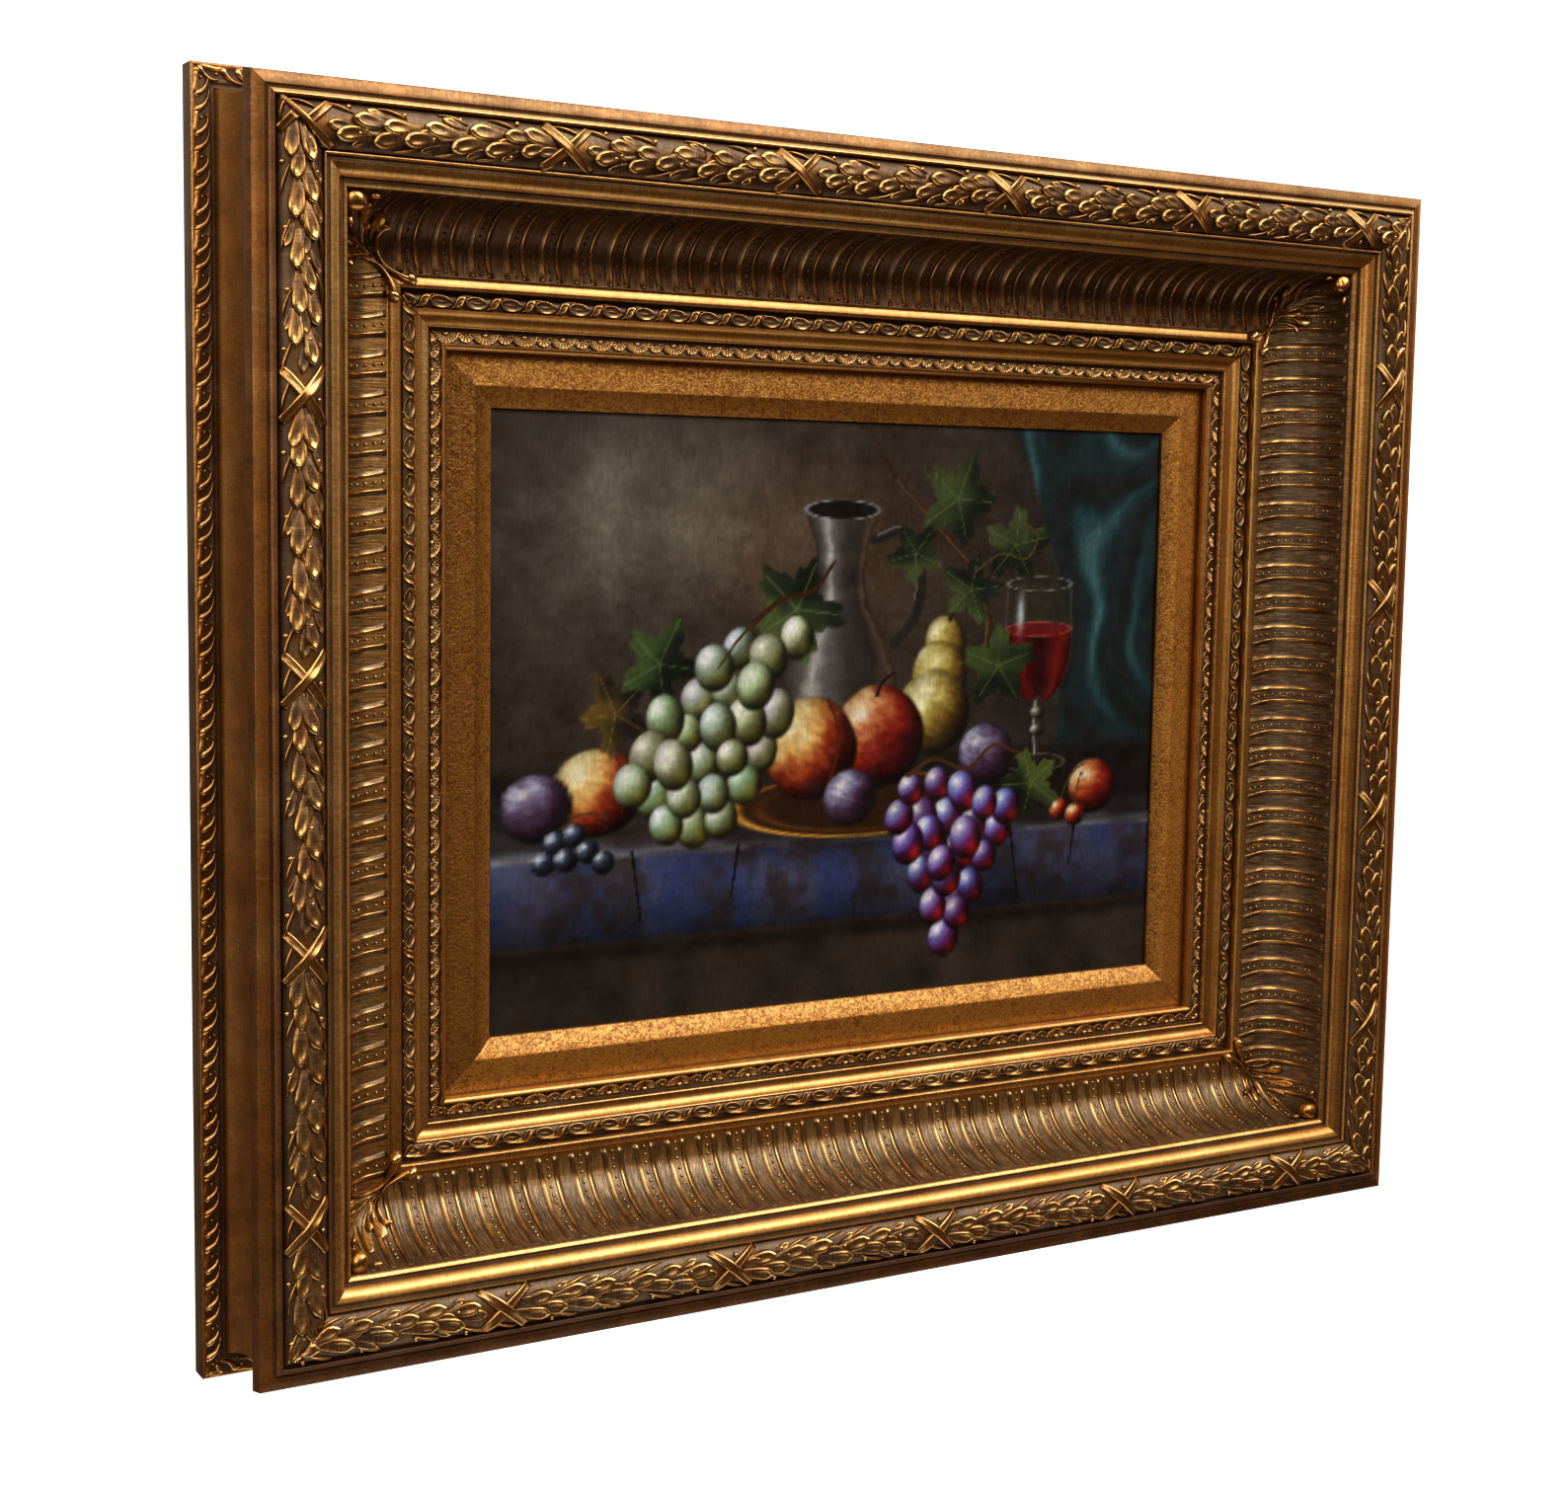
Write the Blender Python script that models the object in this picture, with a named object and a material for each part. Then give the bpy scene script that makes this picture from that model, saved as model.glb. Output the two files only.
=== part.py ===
# Framed oil painting: a deep gilt scoop moulding with pressed ornament, a sandy gilt
# liner and a painted panel.  Made to hang: the back plane is y = 0, the front faces -Y.
# The origin is the hanging point on the flat back of the top rail.
import bpy
import bmesh
from math import cos, sin, pi, radians, sqrt
from mathutils import Vector
from mathutils.geometry import delaunay_2d_cdt

MM = 0.001

# Overall sizes in millimetres.  Insets run inward from the front flange's outer edge,
# depths run back from the front flange's face.
FLANGE_WIDTH = 652.7
FLANGE_HEIGHT = 551.3
BACK_DEPTH = 62.5
BACK_FLANGE_OVERHANG = 9.6
HANG_INSET = 40.0
JOINT_GAP = 0.3

# Garland roll
GARLAND_IN = 29.6
GARLAND_OUT = 10.0
GARLAND_MID = 19.8
GARLAND_CREST = 4.6
LEAF_PITCH = 15.0
LEAF_RISE = 2.5
RIBBON_PITCH = 117.0
RIBBON_REACH = 8.8
RIBBON_HALF_WIDTH = 2.1

# Cove: a quarter ellipse, then a short flat
COVE_TOP = (43.0, 7.5)
COVE_SEMI = (23.0, 33.6)
COVE_END = (73.3, 40.8)
RIB_PITCH = 17.0
RIB_HALF_WIDTH = 3.3
RIB_RISE = 1.1
RIB_CLEAR = 86.0

# Rope and shell bands
ROPE_PITCH = 16.9
SHELL_PITCH = 19.2
SCROLL_PITCH = 16.4

# Rebate, liner and panel
REBATE_INSET = 97.0
LIP_INSET = 104.8
LIP_BACK = 54.2
LINER_FOOT = (105.4, 54.5)
LINER_ARRIS = (119.9, 52.4)
LINER_SIGHT = (129.4, 56.3)
LINER_LIP_BACK = 58.0
PANEL_WIDTH = 406.4
PANEL_HEIGHT = 304.8
PANEL_THICK = 3.2

CENTRE_Z = HANG_INSET - FLANGE_HEIGHT / 2

# Each rail: full length, inward direction, running direction (x, z), and where the
# repeats of its ornament fall along it.
RAILS = {
    "top": {"length": FLANGE_WIDTH, "span": FLANGE_HEIGHT, "inward": (0, -1),
            "along": (1, 0), "ribbon": -71.0, "rib": -144.0},
    "bottom": {"length": FLANGE_WIDTH, "span": FLANGE_HEIGHT, "inward": (0, 1),
               "along": (-1, 0), "ribbon": -18.8, "rib": -104.0},
    "left": {"length": FLANGE_HEIGHT, "span": FLANGE_WIDTH, "inward": (1, 0),
             "along": (0, 1), "ribbon": 28.8, "rib": 127.5},
    "right": {"length": FLANGE_HEIGHT, "span": FLANGE_WIDTH, "inward": (-1, 0),
              "along": (0, -1), "ribbon": -56.4, "rib": -140.0},
}


def clearScene():
    for old in list(bpy.data.objects):
        bpy.data.objects.remove(old, do_unlink=True)


def material(name, color, roughness, metallic):
    made = bpy.data.materials.new(name)
    made.use_nodes = True
    shader = made.node_tree.nodes["Principled BSDF"]
    shader.inputs["Base Color"].default_value = (*color, 1.0)
    shader.inputs["Roughness"].default_value = roughness
    shader.inputs["Metallic"].default_value = metallic
    made.diffuse_color = (*color, 1.0)
    return made


def place(rail, inset, depth, along):
    # a point on a rail, in metres
    inward = rail["inward"]
    run = rail["along"]
    half = rail["span"] / 2 - inset
    x = -inward[0] * half + run[0] * along
    z = -inward[1] * half + run[1] * along + CENTRE_Z
    return Vector((x * MM, (depth - BACK_DEPTH) * MM, z * MM))


def finish(name, mesh, made, smooth=False):
    bmesh.ops.recalc_face_normals(mesh, faces=mesh.faces[:])
    data = bpy.data.meshes.new(name)
    mesh.to_mesh(data)
    mesh.free()
    data.materials.append(made)
    for face in data.polygons:
        face.use_smooth = smooth
    piece = bpy.data.objects.new(name, data)
    bpy.context.scene.collection.objects.link(piece)
    return piece


def repeats(start, pitch, low, high):
    # every position start + n * pitch between low and high
    first = start + pitch * int((low - start) / pitch - 1)
    spots = []
    while first <= high:
        if first >= low:
            spots.append(first)
        first += pitch
    return spots


def rollDepth(inset):
    # the ground of the garland roll, a flat half ellipse
    share = min(1.0, abs(inset - GARLAND_MID) / (GARLAND_IN - GARLAND_MID))
    return 0.2 - GARLAND_CREST * sqrt(1 - share * share)


def coveLine(angle):
    turn = radians(angle)
    inset = COVE_TOP[0] + COVE_SEMI[0] * (1 - cos(turn))
    return (inset, COVE_TOP[1] + COVE_SEMI[1] * sin(turn))


COVE_LINES = [COVE_TOP, coveLine(25), coveLine(50), coveLine(75), COVE_END]

FLANGE_FRONT = [(-1.2, 7.5), (0.0, 0.0), (2.6, -0.85), (5.2, -1.35), (5.8, -0.4), (6.5, -1.2),
                (8.0, -2.3), (9.2, -1.7), (9.5, 0.2)]
FILLETS = [(30.1, -1.7), (31.0, -1.7), (31.4, 0.3), (32.7, 0.3), (33.1, -0.4), (34.2, 0.1),
           (36.6, 0.9), (38.4, 2.5), (39.0, 3.6), (39.2, 5.2), (40.3, 5.2), (40.6, 4.5),
           (42.4, 5.6)]
GOLD_FILLET = [(73.9, 39.6), (76.3, 39.1), (78.6, 40.0), (79.2, 41.2), (79.7, 44.8),
               (80.8, 44.8)]
HOLLOW = [(87.3, 43.2), (88.2, 44.4), (91.2, 46.5), (94.3, 46.6), (94.9, 46.9),
          (95.3, 49.8)]
LIP = [(101.9, 48.5), (104.3, 48.4), (LIP_INSET, 48.9), (LIP_INSET, LIP_BACK),
       (REBATE_INSET, LIP_BACK), (REBATE_INSET, BACK_DEPTH),
       (-BACK_FLANGE_OVERHANG, BACK_DEPTH), (-BACK_FLANGE_OVERHANG, 51.4)]
# the outer side: a groove beside the back flange, then a shallow hollow
WALL_INSET = 0.7
WALL_HOLLOW = 4.1
WALL_DEPTHS = (50.4, 9.0)
WALL_STEPS = 8


def wallLine():
    line = [(-1.4, 50.4), (-1.1, 51.5), (0.5, 51.5)]
    for k in range(WALL_STEPS + 1):
        share = k / WALL_STEPS
        depth = WALL_DEPTHS[0] + (WALL_DEPTHS[1] - WALL_DEPTHS[0]) * share
        line.append((WALL_INSET + WALL_HOLLOW * (1 - (2 * share - 1) ** 2), depth))
    return line


def railEnd(rail, inset):
    # how far a line at this inset runs each way before the mitre
    return rail["length"] / 2 - inset - JOINT_GAP / 2 * sqrt(2)


def plainLine(rail, spot):
    end = railEnd(rail, spot[0])
    return [(spot[0], spot[1], -end), (spot[0], spot[1], end)]


def waveLine(rail, inset, low, high, start, pitch):
    # a crest that rises and falls once in each repeat
    end = railEnd(rail, inset)
    line = [(inset, low, -end)]
    for t in repeats(start, pitch, pitch - end, end - pitch):
        line.append((inset, high, t))
        line.append((inset, low, t + pitch / 2))
    line.append((inset, low, end))
    return line


def ribSpots(rail):
    reach = rail["length"] / 2 - RIB_CLEAR
    return repeats(rail["rib"], RIB_PITCH, -reach, reach)


def coveNormal(index):
    before = COVE_LINES[max(0, index - 1)]
    after = COVE_LINES[min(len(COVE_LINES) - 1, index + 1)]
    run = Vector((after[0] - before[0], after[1] - before[1])).normalized()
    return Vector((run[1], -run[0]))


def ribbedLine(index, rail):
    # one line along the cove, raised where each rib crosses it
    inset, depth = COVE_LINES[index]
    end = railEnd(rail, inset)
    rise = RIB_RISE if 0 < index < len(COVE_LINES) - 1 else 0.0
    push = coveNormal(index) * rise
    line = [(inset, depth, -end)]
    for t in ribSpots(rail):
        line.append((inset, depth, t - RIB_HALF_WIDTH))
        line.append((inset + push[0], depth + push[1], t))
        line.append((inset, depth, t + RIB_HALF_WIDTH))
    line.append((inset, depth, end))
    return line


def leafPoints(rail):
    # garland points as (along, inset, rise above the roll), and the ridges that tie them
    points = []
    ridges = []
    reach = rail["length"] / 2
    crossings = repeats(rail["ribbon"], RIBBON_PITCH, -reach, reach)
    columns = [(16.4, 0.0, LEAF_RISE), (23.2, 0.5, LEAF_RISE), (12.5, 0.5, 1.1),
               (27.1, 0.0, 1.1)]
    for inset, shift, rise in columns:
        away = abs(inset - GARLAND_MID)
        clear = RIBBON_REACH * away / 9.8 + 2 * RIBBON_HALF_WIDTH
        start = rail["ribbon"] + LEAF_PITCH * (0.55 + shift)
        end = railEnd(rail, inset) - 1.5
        for tip in repeats(start, LEAF_PITCH, -end, end - LEAF_PITCH + 1.4):
            root = tip + LEAF_PITCH - 1.4
            if any(tip - 2 < c + clear and root > c - clear for c in crossings):
                continue
            points += [(tip, inset, rise), (root, inset, 0.2)]
            ridges.append((len(points) - 2, len(points) - 1))
    end = railEnd(rail, GARLAND_MID) - 2
    for t in repeats(rail["ribbon"] + 4, LEAF_PITCH / 2, -end, end):
        if all(abs(t - c) > 6.5 for c in crossings):
            points.append((t, GARLAND_MID, 0.1))
    for c in crossings:
        if abs(c) < reach - GARLAND_IN - RIBBON_REACH - 3:
            addCrossing(points, ridges, c)
    return points, ridges


def addCrossing(points, ridges, middle):
    # two ribbons crossed over the roll: a ridge down each arm, low points beside it
    centre = len(points)
    points.append((middle, GARLAND_MID, LEAF_RISE + 0.3))
    slope = RIBBON_REACH / 8.6
    side = RIBBON_HALF_WIDTH
    for away in (-1, 1):
        points.append((middle + away * side * 1.6, GARLAND_MID, 0.4))
        points.append((middle, GARLAND_MID + away * side * 1.6, 0.4))
        for run in (-1, 1):
            inset = GARLAND_MID + away * 8.6
            t = middle + run * RIBBON_REACH
            arm = len(points)
            half = GARLAND_MID + away * 4.6
            points.append((middle + run * 4.6 * slope, half, LEAF_RISE))
            points.append((t, inset, 0.9))
            points.append((t - run * side * 1.2, inset, 0.0))
            points.append((t + run * side * 1.0, inset - away * 1.6, 0.1))
            ridges.append((centre, arm))
            ridges.append((arm, arm + 1))


def borderPoints(rail):
    # the ground round the edge of the garland strip, with the roll's curve at the mitres
    points = []
    for inset in (GARLAND_OUT, GARLAND_IN):
        end = railEnd(rail, inset)
        spots = repeats(rail["ribbon"] + 2, LEAF_PITCH, 4 - end, end - 4)
        points += [(t, inset, 0.0) for t in [-end] + spots + [end]]
    for inset in (11.2, 13.4, 16.6, GARLAND_MID, 23.0, 26.2, 28.4):
        end = railEnd(rail, inset)
        points += [(-end, inset, 0.0), (end, inset, 0.0)]
    return points


def triangulateGarland(rail):
    # the garland as a triangulated relief over its unrolled strip
    points, ridges = leafPoints(rail)
    inner = len(points)
    points += borderPoints(rail)
    flat = []
    for k, (t, inset, rise) in enumerate(points):
        # the mitred ends bulge a little while triangulating, so no corner is left out
        share = (inset - GARLAND_MID) / (GARLAND_IN - GARLAND_MID)
        atEnd = k >= inner and abs(abs(t) - railEnd(rail, inset)) < 1e-6
        bulge = 0.05 * (1 - share * share) if atEnd else 0.0
        flat.append(Vector((t + (bulge if t > 0 else -bulge), inset)))
    verts, edges, faces, origin, e, f = delaunay_2d_cdt(flat, ridges, [], 0, 1e-6, True)
    solid = []
    for spot, source in zip(verts, origin):
        t, inset, rise = points[source[0]] if source else (spot[0], spot[1], 0.5)
        solid.append((inset, rollDepth(inset) - rise, t))
    return solid, [list(face) for face in faces]


def railLines(rail):
    # the lines of the moulding in order round its section; None marks the garland
    lines = [plainLine(rail, spot) for spot in FLANGE_FRONT]
    lines.append(None)
    lines += [plainLine(rail, spot) for spot in FILLETS]
    lines += [ribbedLine(i, rail) for i in range(len(COVE_LINES))]
    lines += [plainLine(rail, spot) for spot in GOLD_FILLET]
    lines.append(plainLine(rail, (81.3, 43.6)))
    lines.append(waveLine(rail, 84.0, 42.6, 41.5, rail["rib"], ROPE_PITCH))
    lines.append(plainLine(rail, (86.7, 43.9)))
    lines += [plainLine(rail, spot) for spot in HOLLOW]
    lines.append(waveLine(rail, 98.6, 49.6, 48.4, rail["rib"] + 3, SHELL_PITCH))
    lines.append(plainLine(rail, (101.6, 49.8)))
    lines += [plainLine(rail, spot) for spot in LIP]
    lines.append(waveLine(rail, -5.4, 50.6, 49.6, rail["rib"] + 5, SCROLL_PITCH))
    lines += [plainLine(rail, spot) for spot in wallLine()]
    return lines


def zipLines(mesh, first, second):
    # triangles between two lines of corners, always taking the shorter diagonal
    i = 0
    j = 0
    while i < len(first) - 1 or j < len(second) - 1:
        a, ta = first[i]
        b, tb = second[j]
        stepA = abs(first[i + 1][1] - tb) if i < len(first) - 1 else 1e9
        stepB = abs(second[j + 1][1] - ta) if j < len(second) - 1 else 1e9
        if stepA <= stepB:
            mesh.faces.new((a, first[i + 1][0], b))
            i += 1
        else:
            mesh.faces.new((a, second[j + 1][0], b))
            j += 1


def addGarland(mesh, rail, strips, caps):
    solid, faces = triangulateGarland(rail)
    corners = [mesh.verts.new(place(rail, *spot)) for spot in solid]
    for face in faces:
        mesh.faces.new([corners[k] for k in face])
    for inset in (GARLAND_OUT, GARLAND_IN):
        row = [(corners[k], s[2]) for k, s in enumerate(solid) if abs(s[0] - inset) < 1e-4]
        strips.append(sorted(row, key=lambda item: item[1]))
    for side in (-1, 1):
        rim = [(s[0], corners[k]) for k, s in enumerate(solid)
               if abs(s[2] - side * railEnd(rail, s[0])) < 1e-4]
        caps[side] += [corner for inset, corner in sorted(rim, key=lambda item: item[0])]


def closedSection(mesh, rail, lines):
    # skin the lines into a closed bar, mitred at both ends
    strips = []
    caps = {-1: [], 1: []}
    skipped = None
    for line in lines:
        if line is None:
            addGarland(mesh, rail, strips, caps)
            skipped = len(strips) - 2
            continue
        row = [(mesh.verts.new(place(rail, *spot)), spot[2]) for spot in line]
        strips.append(row)
        caps[-1].append(row[0][0])
        caps[1].append(row[-1][0])
    for k in range(len(strips)):
        if k != skipped:
            zipLines(mesh, strips[k], strips[(k + 1) % len(strips)])
    for side in (-1, 1):
        mesh.faces.new(caps[side])


def mitredPiece(name, rail, lines, made):
    mesh = bmesh.new()
    closedSection(mesh, rail, lines)
    bmesh.ops.recalc_face_normals(mesh, faces=mesh.faces[:])
    bmesh.ops.triangulate(mesh, faces=mesh.faces[:], quad_method="BEAUTY",
                          ngon_method="EAR_CLIP")
    return finish(name, mesh, made)


def buildFrameRail(side, made):
    rail = RAILS[side]
    return mitredPiece("frame_rail_" + side, rail, railLines(rail), made)


def buildLinerRail(side, made):
    rail = RAILS[side]
    front = LIP_BACK + JOINT_GAP
    outer = REBATE_INSET + JOINT_GAP
    hold = (FLANGE_WIDTH - PANEL_WIDTH) / 2 - JOINT_GAP
    back = BACK_DEPTH - JOINT_GAP
    section = [(outer, front), LINER_FOOT, LINER_ARRIS, LINER_SIGHT,
               (LINER_SIGHT[0], LINER_LIP_BACK), (hold, LINER_LIP_BACK), (hold, back),
               (outer, back)]
    lines = [plainLine(rail, spot) for spot in section]
    return mitredPiece("liner_rail_" + side, rail, lines, made)


# Corner leaf: inset and depth of each line on the cove, half width, rise at the rim,
# rise half way out and rise on the mitre.
LEAF_LINES = [
    ((43.2, 9.0), 3.0, 0.9, 1.6, 1.9),
    ((44.1, 15.2), 4.2, 1.0, 2.8, 3.2),
    (COVE_LINES[1], 8.0, 0.9, 1.8, 2.2),
    ((48.2, 27.5), 20.0, 0.9, 1.7, 2.6),
    (COVE_LINES[2], 21.0, 0.9, 2.2, 3.0),
    ((55.6, 36.6), 15.0, 1.0, 2.2, 2.8),
    (COVE_LINES[3], 10.0, 1.0, 1.9, 2.4),
    ((66.6, 40.4), 6.5, 1.0, 1.6, 1.8),
    (COVE_LINES[4], 5.0, 1.0, 1.3, 1.3),
    (GOLD_FILLET[0], 6.8, 1.2, 2.2, 0.8),
    (GOLD_FILLET[1], 7.6, 1.2, 2.4, 0.8),
]
# the two rails that meet at each corner, each with the end of it that is used
CORNERS = {
    "top_left": (("top", -1), ("left", 1)),
    "top_right": (("right", -1), ("top", 1)),
    "bottom_right": (("bottom", -1), ("right", 1)),
    "bottom_left": (("left", -1), ("bottom", 1)),
}


def leafNormals():
    spots = [Vector(item[0]) for item in LEAF_LINES]
    turns = []
    for k in range(len(spots)):
        sides = []
        if k > 0:
            sides.append((spots[k] - spots[k - 1]).normalized())
        if k < len(spots) - 1:
            sides.append((spots[k + 1] - spots[k]).normalized())
        normals = [Vector((run[1], -run[0])) for run in sides]
        mean = sum(normals, Vector((0, 0))).normalized()
        turns.append(mean / max(0.5, mean.dot(normals[0])))
    return turns


def cornerPoint(pair, spot, off):
    # off > 0 lies on the first rail, off < 0 on the second, off = 0 on the mitre
    name, end = pair[0] if off >= 0 else pair[1]
    rail = RAILS[name]
    reach = rail["length"] / 2 - spot[0] - abs(off)
    return place(rail, spot[0], spot[1], end * reach)


def buildCornerLeaf(corner, made):
    pair = CORNERS[corner]
    turns = leafNormals()
    mesh = bmesh.new()
    shares = (-1.0, -0.5, 0.0, 0.5, 1.0)
    layers = {"under": [], "over": []}
    for (spot, half, rim, mid, ridge), turn in zip(LEAF_LINES, turns):
        rises = (rim, mid, ridge, mid, rim)
        under = Vector(spot) + turn * JOINT_GAP
        layers["under"].append([mesh.verts.new(cornerPoint(pair, under, s * half))
                                for s in shares])
        row = []
        for share, rise in zip(shares, rises):
            over = Vector(spot) + turn * (JOINT_GAP + rise)
            row.append(mesh.verts.new(cornerPoint(pair, over, share * half)))
        layers["over"].append(row)
    sewLeaf(mesh, layers["under"], layers["over"])
    bmesh.ops.recalc_face_normals(mesh, faces=mesh.faces[:])
    bmesh.ops.triangulate(mesh, faces=mesh.faces[:])
    return finish("corner_leaf_" + corner, mesh, made)


def sewLeaf(mesh, under, over):
    rows = len(under)
    columns = len(under[0])
    for i in range(rows - 1):
        for j in range(columns - 1):
            for layer in (under, over):
                mesh.faces.new((layer[i][j], layer[i][j + 1],
                                layer[i + 1][j + 1], layer[i + 1][j]))
        for j in (0, columns - 1):
            mesh.faces.new((under[i][j], under[i + 1][j], over[i + 1][j], over[i][j]))
    for i in (0, rows - 1):
        for j in range(columns - 1):
            mesh.faces.new((under[i][j], under[i][j + 1], over[i][j + 1], over[i][j]))


def buildPanel(made):
    front = LINER_LIP_BACK + JOINT_GAP
    mesh = bmesh.new()
    bmesh.ops.create_cube(mesh, size=1.0)
    for vert in mesh.verts:
        vert.co.x *= PANEL_WIDTH * MM
        vert.co.z = vert.co.z * PANEL_HEIGHT * MM + CENTRE_Z * MM
        vert.co.y = (front + PANEL_THICK * (vert.co.y + 0.5) - BACK_DEPTH) * MM
    return finish("painting_panel", mesh, made)


def build():
    clearScene()
    gilt = {side: material("gilt_" + side, (0.45, 0.27, 0.08), 0.4, 0.6) for side in RAILS}
    sand = {side: material("sand_" + side, (0.50, 0.30, 0.10), 0.5, 0.6) for side in RAILS}
    for side in RAILS:
        buildFrameRail(side, gilt[side])
        buildLinerRail(side, sand[side])
    for corner in CORNERS:
        cast = material("leaf_" + corner, (0.50, 0.32, 0.10), 0.35, 0.6)
        buildCornerLeaf(corner, cast)
    buildPanel(material("painted_panel", (0.12, 0.11, 0.10), 0.45, 0.0))


build()
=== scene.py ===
from math import ceil, cos, pi, radians, sin, sqrt
import bpy
import numpy as np
from mathutils import Matrix, Vector


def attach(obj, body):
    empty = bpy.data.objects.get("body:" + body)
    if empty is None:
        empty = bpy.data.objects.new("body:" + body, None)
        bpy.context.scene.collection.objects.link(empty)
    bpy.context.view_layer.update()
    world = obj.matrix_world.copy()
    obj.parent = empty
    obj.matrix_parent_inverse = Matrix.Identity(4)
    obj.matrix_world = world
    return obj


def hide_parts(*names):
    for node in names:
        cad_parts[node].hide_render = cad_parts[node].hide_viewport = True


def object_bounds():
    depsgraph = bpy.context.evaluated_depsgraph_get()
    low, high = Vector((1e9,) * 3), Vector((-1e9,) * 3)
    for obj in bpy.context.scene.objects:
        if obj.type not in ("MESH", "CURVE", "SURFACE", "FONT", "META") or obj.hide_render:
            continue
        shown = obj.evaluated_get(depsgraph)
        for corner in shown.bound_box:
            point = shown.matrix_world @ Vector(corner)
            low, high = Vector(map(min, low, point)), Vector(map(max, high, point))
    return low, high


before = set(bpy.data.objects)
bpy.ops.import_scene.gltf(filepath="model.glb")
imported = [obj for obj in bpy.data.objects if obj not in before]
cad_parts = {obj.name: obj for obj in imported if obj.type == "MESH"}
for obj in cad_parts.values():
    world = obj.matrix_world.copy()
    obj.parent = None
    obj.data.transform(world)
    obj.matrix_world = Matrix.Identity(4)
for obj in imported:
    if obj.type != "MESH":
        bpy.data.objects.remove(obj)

cadLow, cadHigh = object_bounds()
mm = 0.001

# The frame as a whole, in millimetres. Insets run inward from the front flange's outer
# edge, depths run back from its face, "along" runs down each rail from its middle.
frameSizes = {
    "backOverhang": 9.6,   # the back flange stands out beyond the front one
    "depth": 62.5,         # front flange face to the wall
    "jointGap": 0.12,
    "trim": 0.02,          # carving ends this far short of the joint
    "crestDepth": -7.15,   # nothing on the garland stands further out than this
}
width = (cadHigh.x - cadLow.x) / mm - 2 * frameSizes["backOverhang"]
height = (cadHigh.z - cadLow.z) / mm - 2 * frameSizes["backOverhang"]
centreZ = (cadHigh.z + cadLow.z) / mm / 2
wallY = cadHigh.y / mm

# Every rail is cut from the same stick; only the place of the pattern differs.
rails = {
    "top": {"length": width, "span": height, "inward": (0, -1), "along": (1, 0),
            "ribbon": -71.0, "rib": -142.0, "link": -143.0, "pearl": -145.5, "eye": 3.0},
    "bottom": {"length": width, "span": height, "inward": (0, 1), "along": (-1, 0),
               "ribbon": -18.8, "rib": 104.6, "link": 107.0, "pearl": 118.6, "eye": 7.0},
    "left": {"length": height, "span": width, "inward": (1, 0), "along": (0, 1),
             "ribbon": 28.8, "rib": 127.5, "link": 127.5, "pearl": 123.1, "eye": 0.0},
    "right": {"length": height, "span": width, "inward": (-1, 0), "along": (0, -1),
              "ribbon": -56.4, "rib": -140.0, "link": -136.0, "pearl": -130.0, "eye": 5.0},
}
cornerPairs = {
    "top_left": (("top", -1), ("left", 1)),
    "top_right": (("right", -1), ("top", 1)),
    "bottom_right": (("bottom", -1), ("right", 1)),
    "bottom_left": (("left", -1), ("bottom", 1)),
}


# placing things on a rail


def toFrame(rail, inset, depth, along):
    half = rail["span"] / 2 - inset
    x = -rail["inward"][0] * half + rail["along"][0] * along
    z = -rail["inward"][1] * half + rail["along"][1] * along + centreZ
    y = depth - frameSizes["depth"] + wallY
    return np.stack([x, y + 0 * x, z + 0 * x], axis=-1) * mm


def mitreEnd(rail, inset):
    return rail["length"] / 2 - inset - frameSizes["jointGap"] / 2 * sqrt(2)


def repeats(start, pitch, low, high):
    first = ceil((low - start) / pitch)
    last = int(np.floor((high - start) / pitch))
    return start + pitch * np.arange(first, last + 1)


def easeIn(value, low, high):
    share = np.clip((value - low) / (high - low), 0, 1)
    return share * share * (3 - 2 * share)


def hump(value, middle, spread):
    # 1 at its middle, fading out softly either side
    return np.exp(-((value - middle) / spread) ** 2)


def bothWays(steps):
    # places to the left of a middle line, on it and to its right
    return np.concatenate([-np.array(steps)[::-1], [0.0], steps])


def signedPower(value, power):
    return np.sign(value) * np.abs(value) ** power


def smoothLine(points, steps):
    # a Catmull-Rom curve through the points
    spots = np.array(points, float)
    padded = np.vstack([2 * spots[0] - spots[1], spots, 2 * spots[-1] - spots[-2]])
    made = []
    for k in range(len(spots) - 1):
        a, b, c, d = padded[k:k + 4]
        for t in np.arange(steps) / steps:
            made.append(0.5 * (2 * b + (c - a) * t + (2 * a - 5 * b + 4 * c - d) * t * t
                               + (3 * b - a - 3 * c + d) * t ** 3))
    made.append(spots[-1])
    return [tuple(p) for p in made]


def groundLine(points):
    # a line across the moulding, measured along itself, with its outward normal
    spots = np.array(points, float)
    steps = np.hypot(*np.diff(spots, axis=0).T)
    run = np.concatenate([[0], np.cumsum(steps)])
    slope = np.gradient(spots, run, axis=0)
    slope /= np.linalg.norm(slope, axis=1)[:, None]
    return {"run": run, "spots": spots, "normals": np.stack([slope[:, 1], -slope[:, 0]], 1)}


def onGround(ground, run, rise):
    # the inset and depth of points standing this far above the ground
    lines = [np.interp(run, ground["run"], ground[name][:, axis])
             for name in ("spots", "normals") for axis in (0, 1)]
    return lines[0] + lines[2] * rise, lines[1] + lines[3] * rise


def runAt(ground, inset):
    return np.interp(inset, ground["spots"][:, 0], ground["run"])


def sideways(path):
    # unit vectors to the left of a path
    run = np.gradient(path[:, :2], axis=0)
    run /= np.linalg.norm(run, axis=1)[:, None]
    return np.column_stack([-run[:, 1], run[:, 0]])


def offPath(path, reach):
    # for each point of the path, a row of points beside it
    return path[:, None, :2] + sideways(path)[:, None] * reach[..., None]


# closed bodies, lofted through rings


def fourSided(*corners):
    # four arrays of point numbers, as a list of four-sided faces
    return np.stack(corners, -1).reshape(-1, 4)


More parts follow.
